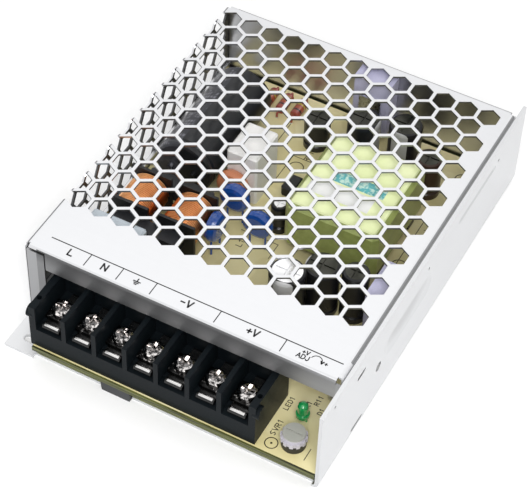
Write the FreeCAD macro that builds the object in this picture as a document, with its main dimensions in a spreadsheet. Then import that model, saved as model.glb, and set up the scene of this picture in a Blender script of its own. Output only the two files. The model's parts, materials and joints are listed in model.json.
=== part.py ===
import FreeCAD, Part
import Sketcher
import math
import os
from FreeCAD import Placement, Rotation, Vector

# Enclosed 100 W switching power supply with a hexagon mesh cover, in millimetres.
# +Z is up, the terminals face -Y, and the origin is under the middle of the case.
# Most places are measured from the left side and the front edge of the case.

SIZES = {
    # case: a folded plate with the right wall, and a folded mesh cover over it
    "case_width": 97.0,
    "case_length": 129.0,
    "case_height": 30.0,
    "plate_sheet": 1.0,
    "plate_bend": 0.8,
    "tab_depth": 12.4,
    "plate_front": 1.4,
    "side_lip_height": 7.0,
    "side_lip_gap": 0.1,
    "cover_sheet": 0.6,
    "cover_bend": 0.5,
    "cover_drop": 0.5,
    "cover_side_gap": 0.5,
    "cover_setback": 12.8,
    "cover_foot_gap": 0.2,
    "rear_ledge": 3.2,
    "lip_gap": 1.9,
    "return_flange": 6.3,
    "side_flange": 5.0,
    "corner_relief": 0.4,
    # hexagon mesh
    "mesh_pitch": 7.07,
    "mesh_web": 1.0,
    "mesh_rear_margin": 5.88,
    "mesh_left_margin": 4.13,
    "mesh_right_margin": 3.3,
    "mesh_foot_margin": 5.6,
    "label_depth": 17.8,
    # holes of the plate
    "tab_slot_width": 2.5,
    "tab_slot_length": 6.0,
    "tab_slot_left": 3.4,
    "tab_slot_front": 4.7,
    "foot_hole_radius": 1.5,
    "foot_hole_inset_x": 10.0,
    "foot_hole_front": 33.8,
    "foot_hole_spacing_y": 55.0,
    "wall_hole_height": 14.1,
    "wall_slot_length": 4.8,
    "wall_slot_height": 1.2,
    "wall_slot_front": 22.5,
    "wall_slot_down": 6.6,
    "wall_slit_front": 22.2,
    "wall_slit_length": 6.5,
    "wall_slit_height": 0.9,
    "wall_slit_up": 2.75,
    "pip_radius": 0.5,
    "dimple_front": 37.5,
    "dimple_length": 29.0,
    "dimple_width": 8.0,
    "dimple_up": 17.0,
    "dimple_depth": 0.6,
    "crease_front": 83.0,
    "crease_length": 25.7,
    "crease_width": 1.6,
    "crease_down": 6.4,
    "crease_depth": 0.3,
    # board and what holds it
    "board_lift": 2.6,
    "board_sheet": 1.6,
    "board_notch_width": 9.2,
    "board_notch_depth": 14.4,
    "board_rear_gap": 0.8,
    "insulation_sheet": 0.4,
    "insulation_front": 0.3,
    "boss_radius": 3.0,
    "board_screw_radius": 1.5,
    "board_screw_head_radius": 2.8,
    "board_screw_head_height": 1.8,
    "boss_left": 9.0,
    "boss_right_inset": 7.5,
    "boss_front_row": 26.0,
    "boss_rear_inset": 11.0,
    "pad_left": 30.8,
    "pad_width": 9.1,
    "pad_draft": 0.4,
    "pad_front": 0.2,
    "pad_notch_depth": 2.6,
    "pad_depth": 7.0,
    "pad_gap": 0.15,
    # terminal block
    "way_pitch": 9.5,
    "first_way": 14.55,
    "last_way_room": 25.45,
    "barrier": 1.4,
    "end_wall": 2.05,
    "block_front": 1.0,
    "block_depth": 18.8,
    "block_height": 15.4,
    "sill_height": 6.9,
    "seat_height": 7.4,
    "sill_wall": 1.2,
    "block_rear_wall": 3.6,
    "screw_from_front": 8.3,
    "screw_well_radius": 2.3,
    "screw_well_depth": 6.4,
    "cover_peg_radius": 2.0,
    "cover_peg_length": 0.9,
    "cover_peg_rise": 12.0,
    "cover_peg_front": 1.9,
    "cover_hole_radius": 0.75,
    "cover_hole_depth": 3.0,
    "cover_hole_front": 5.2,
    # terminal plates, screws and clamps
    "terminal_sheet": 1.0,
    "terminal_width": 5.2,
    "terminal_front_gap": 0.8,
    "terminal_tail_width": 2.7,
    "terminal_bend": 0.9,
    "terminal_reach": 0.3,
    "terminal_nose": 0.95,
    "screw_radius": 1.75,
    "screw_head_radius": 2.9,
    "screw_head_height": 2.0,
    "screw_head_round": 0.9,
    "screw_length": 7.2,
    "screw_clearance": 0.08,
    "screw_slot_length": 3.8,
    "screw_slot_width": 0.9,
    "screw_slot_depth": 1.1,
    "screw_rest_gap": 0.05,
    "clamp_side": 6.8,
    "clamp_sheet": 1.0,
    # light and trimmer
    "led_right": 12.2,
    "led_front": 14.4,
    "led_radius": 1.5,
    "led_rim": 0.4,
    "led_height": 5.3,
    "led_rim_height": 1.0,
    "led_leg_height": 2.0,
    "led_leg_side": 0.5,
    "led_leg_spacing": 2.54,
    "trimmer_right": 10.6,
    "trimmer_front": 6.4,
    "trimmer_base_radius": 3.4,
    "trimmer_base_height": 2.4,
    "trimmer_knob_radius": 3.7,
    "trimmer_knob_height": 2.6,
    "trimmer_cap_radius": 3.1,
    "trimmer_teeth_depth": 0.4,
    "trimmer_tooth_width": 0.9,
    "trimmer_slot_width": 0.5,
    "trimmer_slot_depth": 0.3,
    "trimmer_pin_radius": 1.2,
    "trimmer_pin_depth": 1.4,
    # wound parts
    "transformer_left": 51.5,
    "transformer_width": 29.0,
    "transformer_front": 65.0,
    "transformer_rear": 31.0,
    "transformer_rise": 3.8,
    "core_wall": 4.2,
    "tape_round": 1.6,
    "bobbin_foot": 3.0,
    "bobbin_sheet": 1.2,
    "choke_left": 8.7,
    "choke_width": 20.6,
    "choke_front": 42.4,
    "choke_depth": 23.6,
    "choke_yoke": 4.6,
    "choke_leg": 5.6,
    "choke_winding_radius": 6.0,
    "choke_flange": 0.9,
    "choke_sleeve": 0.6,
    # capacitors
    "bulk_radius": 9.2,
    "bulk_rear": 20.0,
    "bulk_left": 15.6,
    "bulk_lift": 0.1,
    "can_round": 1.0,
    "can_groove": 0.5,
    "can_groove_height": 2.4,
    "can_vent_depth": 0.3,
    "can_vent_width": 0.5,
    "line_capacitor_left": 4.6,
    "line_capacitor_width": 17.0,
    "line_capacitor_front": 32.2,
    "line_capacitor_depth": 9.0,
    "line_capacitor_height": 15.0,
    "film_left": 26.8,
    "film_width": 10.0,
    "film_front": 76.6,
    "film_depth": 13.5,
    "film_height": 18.0,
    "moulding_round": 0.6,
    "disc_radius": 4.7,
    "disc_thickness": 3.6,
    "disc_lead_height": 2.4,
    "blue_lead_height": 4.6,
    "disc_lead_spacing": 5.0,
    # small parts under the label
    "fuse_left": 16.0,
    "fuse_front": 27.0,
    "fuse_width": 8.5,
    "fuse_depth": 4.0,
    "fuse_height": 8.0,
    "bridge_left": 34.0,
    "bridge_width": 18.0,
    "bridge_front": 27.0,
    "bridge_depth": 3.6,
    "bridge_height": 14.0,
    # power devices clamped to the walls
    "device_width": 10.0,
    "device_sheet": 4.4,
    "device_height": 12.5,
    "device_lift": 3.0,
    "device_cap_wall": 0.9,
    "clip_sheet": 0.8,
    "clip_width": 7.0,
    "clip_height": 13.0,
    "clip_foot": 1.5,
    "resistor_left": 20.0,
    "resistor_rear": 15.5,
    "resistor_radius": 1.6,
    "resistor_length": 7.0,
    "coupler_left": 41.0,
    "coupler_front": 84.0,
    "coupler_width": 4.6,
    "coupler_depth": 6.5,
    "coupler_height": 3.5,
    # side screws of the cover
    "side_screw_radius": 1.25,
    "side_screw_head_radius": 2.1,
    "side_screw_up": 3.6,
    "side_screw_front": 30.0,
    "side_screw_spacing": 72.0,
    "boss_wall": 1.2,
    "board_side_gap": 0.3,
    "board_hole_gap": 0.2,
    "clamp_camber": 0.15,
    "terminal_gap": 0.15,
    "trimmer_ring_height": 1.4,
    "trimmer_bore_end": 0.3,
    "transformer_height": 16.0,
    "tape_sheet": 0.4,
    "part_gap": 0.1,
    "core_rise": 1.5,
    "core_drop": 1.6,
    "core_leg": 8.0,
    "rail_height": 2.0,
    "rail_depth": 3.6,
    "lead_radius": 0.35,
    "choke_rise": 8.6,
    "choke_thickness": 5.0,
    "choke_flange_reach": 0.5,
    "bulk_front": 71.0,
    "bulk_lead_spacing": 7.5,
    "bulk_lead_reach": 1.6,
    "bridge_chamfer": 2.5,
    "switch_cap_headroom": 1.7,
    "rectifier_cap_headroom": 4.7,
    "rectifier_cap_wall": 1.9,
    "rectifier_sheet": 5.4,
    "device_step": 0.5,
    "device_tab": 1.3,
    "device_pitch": 2.54,
    "clip_gap": 0.1,
    "resistor_step": 5.0,
    "surge_left": 30.4,
    "surge_front": 74.3,
    "surge_radius": 5.0,
    "surge_thickness": 3.8,
    "inrush_left": 29.5,
    "inrush_front": 32.0,
    "inrush_thickness": 4.2,
    "switch_middle": 52.5,
    "rectifier_middle": 53.5,
}

# Upright capacitors, each measured from the sides that are named.
CANS = {
    "output_capacitor_1": {"right": 32.6, "front": 43.0, "radius": 5.2, "height": 20.0},
    "output_capacitor_2": {"right": 26.2, "front": 51.6, "radius": 5.0, "height": 17.5},
    "output_capacitor_3": {"right": 17.0, "front": 53.6, "radius": 3.9, "height": 18.0},
    "rear_capacitor_1": {"left": 54.8, "rear": 19.2, "radius": 5.0, "height": 16.0},
    "rear_capacitor_2": {"left": 66.6, "rear": 15.4, "radius": 5.0, "height": 16.0},
    "rear_capacitor_3": {"left": 77.6, "rear": 22.4, "radius": 4.0, "height": 14.0},
    "small_capacitor_1": {"left": 47.0, "front": 72.0, "radius": 2.6, "height": 10.5},
    "small_capacitor_2": {"left": 40.6, "rear": 21.0, "radius": 4.0, "height": 11.0},
}

# Discs that stand on their leads.
BLUE_DISCS = {
    "blue_disc_1": {"left": 34.4, "front": 68.6},
    "blue_disc_2": {"left": 35.0, "front": 56.0},
    "blue_disc_3": {"left": 44.9, "front": 62.8},
}

# Small round holes of the right wall: distance from the front and down from its top.
PIPS = {
    "pip_1": {"front": 7.0, "down": 2.9},
    "pip_2": {"front": 63.6, "down": 6.0},
    "pip_3": {"front": 110.4, "down": 5.5},
}

MESH_SIDES = 6
TRIMMER_TEETH = 12
PINS = 5
RESISTORS = 3
SQUARE_REACH = 0.72
RIM_BEND = 0.293
DISC_ROUND = 0.4
DOME_STEPS = 3
DOME_TURN = 90
COUNT_SLACK = 0.01
DISC_LEAD_REACH = 0.5
VENT_REACH = 1.5
LEG_REACH = 1.5


class Size:
    """A length of the model: its formula for the document, and its number."""

    def __init__(self, formula, number):
        self.formula = formula
        self.number = number

    def joined(self, sign, other, number):
        return Size("(%s %s %s)" % (self.formula, sign, other.formula), number)

    def __add__(self, other):
        other = as_size(other)
        return self.joined("+", other, self.number + other.number)

    def __sub__(self, other):
        other = as_size(other)
        return self.joined("-", other, self.number - other.number)

    def __mul__(self, other):
        other = as_size(other)
        return self.joined("*", other, self.number * other.number)

    def __truediv__(self, other):
        other = as_size(other)
        return self.joined("/", other, self.number / other.number)

    def __radd__(self, other):
        return as_size(other) + self

    def __rsub__(self, other):
        return as_size(other) - self

    def __rmul__(self, other):
        return as_size(other) * self

    def __neg__(self):
        return as_size(0) - self

    def __float__(self):
        return float(self.number)


def as_size(value):
    """Take a plain number or a size as a size."""
    if isinstance(value, Size):
        return value
    return Size(repr(float(value)), float(value))


class Sheet:
    """The sizes by name, as cells of the document's spreadsheet."""

    def __init__(self, document, sizes):
        self.cells = document.addObject("Spreadsheet::Sheet", "Sizes")
        self.sizes = {}
        for row, (name, number) in enumerate(sizes.items(), start=1):
            self.add(row, name, number)

    def add(self, row, name, number):
        cell = "B%d" % row
        self.cells.set("A%d" % row, name)
        self.cells.set(cell, str(number))
        self.cells.setAlias(cell, name)
        self.sizes[name] = Size("Sizes." + name, number)

    def __getattr__(self, name):
        return self.sizes[name]


doc = FreeCAD.newDocument("power_supply")
placed_sizes = {}
for group in (CANS, BLUE_DISCS, PIPS):
    for piece_name, values in group.items():
        for word, number in values.items():
            placed_sizes[piece_name + "_" + word] = number
s = Sheet(doc, {**SIZES, **placed_sizes})
doc.recompute()
parts = []


def bind(thing, **values):
    """Bind properties of an object to formulas of the sheet."""
    for name, value in values.items():
        thing.setExpression(name, as_size(value).formula)


def place(thing, x, y, z):
    """Bind an object's place to formulas."""
    for axis, value in zip("xyz", (x, y, z)):
        thing.setExpression("Placement.Base." + axis, as_size(value).formula)
    return thing


def across(from_left):
    """The X of a distance from the case's left side."""
    return from_left - s.case_width / 2


def along(from_front):
    """The Y of a distance from the case's front edge."""
    return from_front - s.case_length / 2


def box(name, low, lengths):
    solid = doc.addObject("Part::Box", name)
    bind(solid, Length=lengths[0], Width=lengths[1], Height=lengths[2])
    return place(solid, *low)


def cylinder(name, foot, radius, height, direction=Vector(0, 0, 1)):
    solid = doc.addObject("Part::Cylinder", name)
    solid.Placement.Rotation = Rotation(Vector(0, 0, 1), direction)
    bind(solid, Radius=radius, Height=height)
    return place(solid, *foot)


def cone(name, foot, radii, height):
    solid = doc.addObject("Part::Cone", name)
    bind(solid, Radius1=radii[0], Radius2=radii[1], Height=height)
    return place(solid, *foot)


def joined(name, *solids):
    union = doc.addObject("Part::MultiFuse", name)
    union.Shapes = list(solids)
    union.Refine = True
    return union


def cut(name, base, *tools):
    difference = doc.addObject("Part::Cut", name)
    difference.Base = base
    difference.Tool = tools[0] if len(tools) == 1 else joined(name + "_tools", *tools)
    difference.Refine = True
    return difference


def together(name, *solids):
    """Several solids that stay separate in one part."""
    compound = doc.addObject("Part::Compound", name)
    compound.Links = list(solids)
    return compound


def rounded(name, base, radius, chosen):
    """Round the edges of a solid that the function chosen picks."""
    doc.recompute()
    fillet = doc.addObject("Part::Fillet", name)
    fillet.Base = base
    reach = float(radius)
    edges = enumerate(base.Shape.Edges, start=1)
    fillet.Edges = [(number, reach, reach) for number, edge in edges if chosen(edge)]
    return fillet


def bevelled(name, base, reach, chosen):
    """Bevel the edges of a solid that the function chosen picks."""
    doc.recompute()
    bevel = doc.addObject("Part::Chamfer", name)
    bevel.Base = base
    width = float(reach)
    edges = enumerate(base.Shape.Edges, start=1)
    bevel.Edges = [(number, width, width) for number, edge in edges if chosen(edge)]
    return bevel


def upright(edge):
    """True for a straight edge along Z."""
    first, last = edge.Vertexes[0].Point, edge.Vertexes[-1].Point
    return math.hypot(first.x - last.x, first.y - last.y) < 1e-4 < abs(first.z - last.z)


def above(height):
    """A test for edges with an end above a height."""
    low = float(height) + 1e-3
    return lambda edge: any(vertex.Point.z > low for vertex in edge.Vertexes)


def part(thing, name):
    """Keep an object as a sub-part: its label names its file."""
    thing.Label = name
    parts.append(thing)
    return thing


def new_body(name):
    return doc.addObject("PartDesign::Body", name)


def origin_plane(body, role):
    return next(plane for plane in body.Origin.OriginFeatures if plane.Role == role)


def outline(body, role, corners, offset=0):
    """A closed sketch through the corners, each bound to its two formulas."""
    sketch = body.newObject("Sketcher::SketchObject", body.Name + "_outline")
    sketch.AttachmentSupport = [(origin_plane(body, role), "")]
    sketch.MapMode = "FlatFace"
    sketch.setExpression("AttachmentOffset.Base.z", as_size(offset).formula)
    points = [Vector(float(x), float(y), 0) for x, y in corners]
    for start, end in zip(points, points[1:] + points[:1]):
        sketch.addGeometry(Part.LineSegment(start, end), False)
    for number in range(len(points)):
        following = (number + 1) % len(points)
        sketch.addConstraint(Sketcher.Constraint("Coincident", number, 2, following, 1))
    for number, corner in enumerate(corners):
        for direction, value in zip(("DistanceX", "DistanceY"), corner):
            place_of = sketch.addConstraint(
                Sketcher.Constraint(direction, -1, 1, number, 1, float(value)))
            sketch.setExpression("Constraints[%d]" % place_of, as_size(value).formula)
    return sketch


def pad(body, sketch, length):
    feature = body.newObject("PartDesign::Pad", body.Name + "_pad")
    feature.Profile = sketch
    bind(feature, Length=length)
    return feature


def turned(name, corners, x, y, z, direction=Vector(0, 0, 1)):
    """A solid turned about an axis from half a profile of reaches and heights."""
    body = new_body(name)
    feature = body.newObject("PartDesign::Revolution", name + "_turn")
    sketch = outline(body, "XZ_Plane", corners)
    feature.Profile = sketch
    feature.ReferenceAxis = (sketch, ["V_Axis"])
    body.Tip = feature
    body.Placement.Rotation = Rotation(Vector(0, 0, 1), direction)
    return place(body, x, y, z)


def rim(radius, height, reach):
    """The corners of a rounded rim, from its side to its end face."""
    near = reach * RIM_BEND
    return [(radius, height - reach), (radius - near, height - near),
            (radius - reach, height)]


def foot_rim(radius, reach):
    """The corners of a rounded rim at height zero, from its end face to its side."""
    near = reach * RIM_BEND
    return [(radius - reach, as_size(0)), (radius - near, near), (radius, reach)]


def groove(radius, height, depth):
    """The corners of a crimp groove round a can."""
    return [(radius, height - depth), (radius - depth, height), (radius, height + depth)]


def round_bends(body, sheet, bend, inner, outer):
    """Round a folded profile: inner and outer tell the corners of each fold."""
    doc.recompute()
    for word, test, radius in (("inner", inner, bend), ("outer", outer, bend + sheet)):
        base = body.Tip
        edges = enumerate(base.Shape.Edges, start=1)
        chosen = ["Edge%d" % n for n, edge in edges if test(edge)]
        feature = body.newObject("PartDesign::Fillet", body.Name + "_" + word)
        feature.Base = (base, chosen)
        bind(feature, Radius=radius)
        body.Tip = feature
        doc.recompute()
    return body


def edge_through(axis, *corners):
    """A test for the edges along an axis that pass through one of the corners."""
    others = [number for number in range(3) if number != axis]

    def found(edge):
        ends = [vertex.Point for vertex in edge.Vertexes]
        for corner in corners:
            aim = [float(value) for value in corner]
            if all(abs(end[number] - aim[place_of]) < 1e-4
                   for end in ends for place_of, number in enumerate(others)):
                return True
        return False
    return found


# Places that several sub-parts share.
LEFT = across(as_size(0))
RIGHT = across(s.case_width)
FRONT = along(as_size(0))
REAR = along(s.case_length)
BOARD_UNDER = s.plate_sheet + s.board_lift
BOARD_TOP = BOARD_UNDER + s.board_sheet
COVER_TOP = s.case_height - s.cover_drop
HEADROOM = COVER_TOP - s.cover_sheet
WALL_INSIDE = RIGHT - s.plate_sheet
COVER_RIGHT = WALL_INSIDE - s.cover_side_gap
COVER_FRONT = along(s.cover_setback)
COVER_REAR = along(s.case_length - s.rear_ledge)
REAR_INSIDE = COVER_REAR - s.cover_sheet
LIP_OUTSIDE = LEFT + s.cover_sheet + s.side_lip_gap
LIP_INSIDE = LIP_OUTSIDE + s.plate_sheet
PLATE_LEFT = LIP_INSIDE + s.plate_bend
PLATE_FRONT = along(s.plate_front)
LIP_FRONT = COVER_FRONT + s.cover_sheet + s.corner_relief
COVER_FOOT = s.plate_sheet + s.cover_foot_gap
FOLD = s.cover_sheet + s.cover_bend
THROUGH = s.case_height * 2
Y_AXIS = Vector(0, 1, 0)
X_AXIS = Vector(1, 0, 0)


def spot(name):
    """The X and Y of a piece, measured from the sides that its sizes name."""
    sizes = s.sizes
    from_left, from_front = sizes.get(name + "_left"), sizes.get(name + "_front")
    x = across(from_left) if from_left else RIGHT - sizes[name + "_right"]
    y = along(from_front) if from_front else REAR - sizes[name + "_rear"]
    return x, y


def boss_places():
    left = across(s.boss_left)
    right = RIGHT - s.boss_right_inset
    rear = REAR - s.boss_rear_inset
    middle = along(s.boss_front_row)
    return [(left, middle), (right, middle), (left, rear), (right, rear)]


def foot_hole_places():
    front = along(s.foot_hole_front)
    return [(x, y) for x in (across(s.foot_hole_inset_x), RIGHT - s.foot_hole_inset_x)
            for y in (front, front + s.foot_hole_spacing_y)]


def stadium_x(name, middle, radius, length, height):
    """A slot with round ends along X, cut downwards from its foot."""
    x, y, z = middle
    reach = length / 2 - radius
    ends = [cylinder(name + "_end_%d" % n, (x + side, y, z), radius, height)
            for n, side in enumerate((-reach, reach), start=1)]
    bar = box(name + "_bar", (x - reach, y - radius, z), (reach * 2, radius * 2, height))
    return joined(name, bar, *ends)


def stadium_y(name, middle, radius, length, depth):
    """A slot with round ends along Y, its depth along X."""
    x, y, z = middle
    reach = length / 2 - radius
    ends = [cylinder(name + "_end_%d" % n, (x, y + side, z), radius, depth, X_AXIS)
            for n, side in enumerate((-reach, reach), start=1)]
    bar = box(name + "_bar", (x, y - reach, z - radius), (depth, reach * 2, radius * 2))
    return joined(name, bar, *ends)


def trough(name, y, z, length, width, depth, growth):
    """A long round-ended tool that sinks a depth into the right wall from outside."""
    radius = (width * width / 4 + depth * depth) / (depth * 2)
    reach = (length - width) / 2
    x = RIGHT + radius - depth
    rod = cylinder(name + "_rod", (x, y - reach, z), radius + growth, reach * 2, Y_AXIS)
    balls = []
    for n, ball_y in enumerate((y - reach, y + reach), start=1):
        ball = doc.addObject("Part::Sphere", name + "_ball_%d" % n)
        bind(ball, Radius=radius + growth)
        balls.append(place(ball, x, ball_y, z))
    return joined(name, rod, *balls)


def make_chassis():
    """The plate, right wall and left lip are one sheet, folded twice."""
    t, top = s.plate_sheet, s.case_height
    body = new_body("chassis_fold")
    corners = [(LIP_OUTSIDE, as_size(0)), (RIGHT, as_size(0)), (RIGHT, top),
               (WALL_INSIDE, top), (WALL_INSIDE, t), (LIP_INSIDE, t),
               (LIP_INSIDE, s.side_lip_height), (LIP_OUTSIDE, s.side_lip_height)]
    pad(body, outline(body, "XZ_Plane", corners, FRONT), s.case_length)
    inner = edge_through(1, (WALL_INSIDE, t), (LIP_INSIDE, t))
    outer = edge_through(1, (RIGHT, as_size(0)), (LIP_OUTSIDE, as_size(0)))
    round_bends(body, t, s.plate_bend, inner, outer)
    lip_width = PLATE_LEFT - LEFT
    front_gap = box("lip_front_cut", (LEFT, FRONT, as_size(-1)),
                    (lip_width, LIP_FRONT - FRONT, THROUGH))
    rear_gap = box("lip_rear_cut", (LEFT, REAR_INSIDE - s.corner_relief, t),
                   (lip_width, s.rear_ledge * 2, THROUGH))
    notch = box("pad_notch", (across(s.pad_left) - s.pad_gap, FRONT - 1, as_size(-1)),
                (s.pad_width + s.pad_gap * 2, s.pad_notch_depth + 1, THROUGH))
    tab_right = across(s.board_notch_width)
    edge = box("plate_edge_cut", (tab_right, FRONT - 1, as_size(-1)),
               (WALL_INSIDE - s.plate_bend - tab_right, s.plate_front + 1, THROUGH))
    tab = box("front_tab", (LEFT, FRONT, as_size(0)), (lip_width, s.tab_depth, t))
    slot_radius = s.tab_slot_width / 2
    slot_middle = (across(s.tab_slot_left) + s.tab_slot_length / 2,
                   along(s.tab_slot_front), as_size(-1))
    slot = stadium_x("tab_slot", slot_middle, slot_radius, s.tab_slot_length, THROUGH)
    holes = [cylinder("foot_hole_%d" % n, (x, y, as_size(-1)), s.foot_hole_radius, t + 2)
             for n, (x, y) in enumerate(foot_hole_places(), start=1)]
    wall_hole = cylinder("wall_hole", (WALL_INSIDE - 1, along(s.foot_hole_front),
                         s.wall_hole_height), s.foot_hole_radius, t + 2, X_AXIS)
    wall_slot = stadium_y("wall_slot", (WALL_INSIDE - 1, along(s.wall_slot_front),
                          top - s.wall_slot_down), s.wall_slot_height / 2,
                          s.wall_slot_length, t + 2)
    wall_slit = stadium_y("wall_slit", (WALL_INSIDE - 1, along(s.wall_slit_front),
                          s.wall_slit_up), s.wall_slit_height / 2,
                          s.wall_slit_length, t + 2)
    pips = [cylinder(name, (WALL_INSIDE - 1, along(s.sizes[name + "_front"]),
                            top - s.sizes[name + "_down"]), s.pip_radius, t + 2, X_AXIS)
            for name in PIPS]
    dimple_middle = along(s.dimple_front) + s.dimple_length / 2
    recess = trough("dimple", dimple_middle, s.dimple_up, s.dimple_length,
                    s.dimple_width, s.dimple_depth, as_size(0))
    bulge = trough("dimple_back", dimple_middle, s.dimple_up, s.dimple_length,
                   s.dimple_width, s.dimple_depth, t)
    inside = box("dimple_inside", (WALL_INSIDE - s.dimple_depth * 2, FRONT, t),
                 (s.dimple_depth * 2 + t / 2, s.case_length, top - t))
    bump = doc.addObject("Part::Common", "dimple_bump")
    bump.Base, bump.Tool = bulge, inside
    crease = trough("crease", along(s.crease_front) + s.crease_length / 2,
                    top - s.crease_down, s.crease_length, s.crease_width,
                    s.crease_depth, as_size(0))
    bosses, voids, threads = [], [], []
    for n, (x, y) in enumerate(boss_places(), start=1):
        bosses.append(cone("boss_%d" % n, (x, y, t / 2),
                           (s.boss_radius + t, s.boss_radius), BOARD_UNDER - t / 2))
        voids.append(cone("boss_void_%d" % n, (x, y, as_size(0)),
                          (s.boss_radius, s.boss_radius - s.boss_wall / 2),
                          BOARD_UNDER - s.boss_wall))
        threads.append(cylinder("boss_thread_%d" % n, (x, y, as_size(-1)),
                                s.board_screw_radius, BOARD_UNDER + 2))
    side_holes = [cylinder("lip_hole_%d" % n, (LEFT, y, s.side_screw_up),
                           s.side_screw_radius + s.screw_clearance,
                           LIP_INSIDE - LEFT + 1, X_AXIS)
                  for n, y in enumerate(side_screw_places(), start=1)]
    open_plate = cut("open_plate", body, front_gap, rear_gap, notch, edge)
    whole = joined("chassis_whole", open_plate, tab, bump, *bosses)
    part(cut("chassis_cut", whole, slot, wall_hole, wall_slot, wall_slit, recess, crease,
             *pips, *holes, *voids, *threads, *side_holes), "chassis")


def side_screw_places():
    first = along(s.side_screw_front)
    return [first, first + s.side_screw_spacing]


def hexagon(radius):
    """A face in the plane of X and Y with a tip towards Y."""
    turns = [math.radians(90 + 360 / MESH_SIDES * n) for n in range(MESH_SIDES + 1)]
    tips = [Vector(radius * math.cos(a), radius * math.sin(a), 0) for a in turns]
    return Part.Face(Part.makePolygon(tips))


def mesh_holes():
    """Every hexagon hole: rows step by half a pitch and run down the left side."""
    pitch, half = float(s.mesh_pitch), float(s.mesh_pitch - s.mesh_web) / 2
    row_step = pitch * math.sin(math.radians(60))
    radius = half / math.cos(math.radians(30))
    left, top, sheet = float(LEFT), float(COVER_TOP), float(s.cover_sheet)
    fold = float(FOLD)
    last_x = float(COVER_RIGHT - s.mesh_right_margin) - half - left
    lowest = top - float(s.mesh_foot_margin) - half
    rear_row = float(COVER_REAR - s.mesh_rear_margin)
    front_edge = float(COVER_FRONT + s.label_depth) + radius
    down = hexagon(radius).extrude(Vector(0, 0, -(fold + 1)))
    sideways = hexagon(radius)
    sideways.rotate(Vector(), Vector(0, 1, 0), 90)
    sideways = sideways.extrude(Vector(fold + 1, 0, 0))
    holes = []
    for row in range(int((rear_row - front_edge) / row_step) + 1):
        y = rear_row - row * row_step
        x = float(s.mesh_left_margin) + (pitch / 2 if row % 2 else 0)
        x -= pitch * int((x + lowest) / pitch)
        while x <= last_x:
            pieces = []
            if x + half > fold:
                pieces.append(down.translated(Vector(left + x, y, top + 1)))
            if x - half < fold:
                pieces.append(sideways.translated(Vector(left - 1, y, top + x)))
            holes.append(pieces[0] if len(pieces) == 1 else pieces[0].fuse(pieces[1]))
            x += pitch
    return holes


def make_cover():
    """The cover is one sheet: a top with four folded sides and a hexagon mesh."""
    c, top, bend = s.cover_sheet, COVER_TOP, s.cover_bend
    inset = FOLD + s.corner_relief
    flange_foot = top - s.side_flange
    sides = new_body("cover_sides")
    foot = s.cover_foot_gap
    corners = [(LEFT, foot), (LEFT, top), (COVER_RIGHT, top), (COVER_RIGHT, flange_foot),
               (COVER_RIGHT - c, flange_foot), (COVER_RIGHT - c, top - c),
               (LEFT + c, top - c), (LEFT + c, foot)]
    length = COVER_REAR - COVER_FRONT - inset * 2
    pad(sides, outline(sides, "XZ_Plane", corners, -(COVER_REAR - inset)), length)
    round_bends(sides, c, bend,
                edge_through(1, (COVER_RIGHT - c, top - c), (LEFT + c, top - c)),
                edge_through(1, (COVER_RIGHT, top), (LEFT, top)))
    ends = new_body("cover_ends")
    lip_foot = BOARD_TOP + s.block_height + s.lip_gap
    lip = top - lip_foot
    corners = [(COVER_FRONT, lip_foot), (COVER_FRONT, top), (COVER_REAR, top),
               (COVER_REAR, COVER_FOOT), (REAR_INSIDE, COVER_FOOT), (REAR_INSIDE, top - c),
               (COVER_FRONT + c, top - c), (COVER_FRONT + c, lip_foot)]
    width = COVER_RIGHT - LEFT - inset * 2
    pad(ends, outline(ends, "YZ_Plane", corners, LEFT + inset), width)
    round_bends(ends, c, bend,
                edge_through(0, (COVER_FRONT + c, top - c), (REAR_INSIDE, top - c)),
                edge_through(0, (COVER_FRONT, top), (COVER_REAR, top)))
    slit = s.return_flange + s.corner_relief
    lip_cut = box("lip_end_cut", (LEFT, COVER_FRONT - 1, lip_foot - 1),
                  (slit, FOLD + 1, lip - c + 1))
    wing_height = top - inset - COVER_FOOT
    wing = box("rear_wing", (LEFT, REAR_INSIDE, COVER_FOOT),
               (COVER_RIGHT - LEFT, c, wing_height))
    lip_wing = box("lip_wing", (LEFT + slit, COVER_FRONT, lip_foot),
                   (COVER_RIGHT - LEFT - slit, c, lip - inset))
    side_wing = box("side_wing", (LEFT, COVER_REAR - inset - 1, foot),
                    (c, inset - c - s.corner_relief / 2 + 1, top - inset - foot))
    corner = new_body("cover_return")
    side_rear = COVER_FRONT + inset + 1
    corners = [(LEFT, COVER_FRONT), (LEFT + s.return_flange, COVER_FRONT),
               (LEFT + s.return_flange, COVER_FRONT + c), (LEFT + c, COVER_FRONT + c),
               (LEFT + c, side_rear), (LEFT, side_rear)]
    pad(corner, outline(corner, "XY_Plane", corners, COVER_FOOT),
        top - inset - COVER_FOOT)
    round_bends(corner, c, bend, edge_through(2, (LEFT + c, COVER_FRONT + c)),
                edge_through(2, (LEFT, COVER_FRONT)))
    cut_ends = cut("cover_ends_cut", ends, lip_cut)
    whole = joined("cover_whole", sides, cut_ends, corner, wing, lip_wing, side_wing)
    mesh = doc.addObject("Part::Feature", "mesh_holes")
    mesh.Shape = Part.makeCompound(mesh_holes())
    sinks = [cone("cover_sink_%d" % n, (LEFT, y, s.side_screw_up),
                  (s.side_screw_head_radius, s.side_screw_radius + s.screw_clearance), c)
             for n, y in enumerate(side_screw_places(), start=1)]
    for sink in sinks:
        sink.Placement.Rotation = Rotation(Vector(0, 0, 1), X_AXIS)
    part(cut("cover_cut", whole, mesh, *sinks), "cover")


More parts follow.
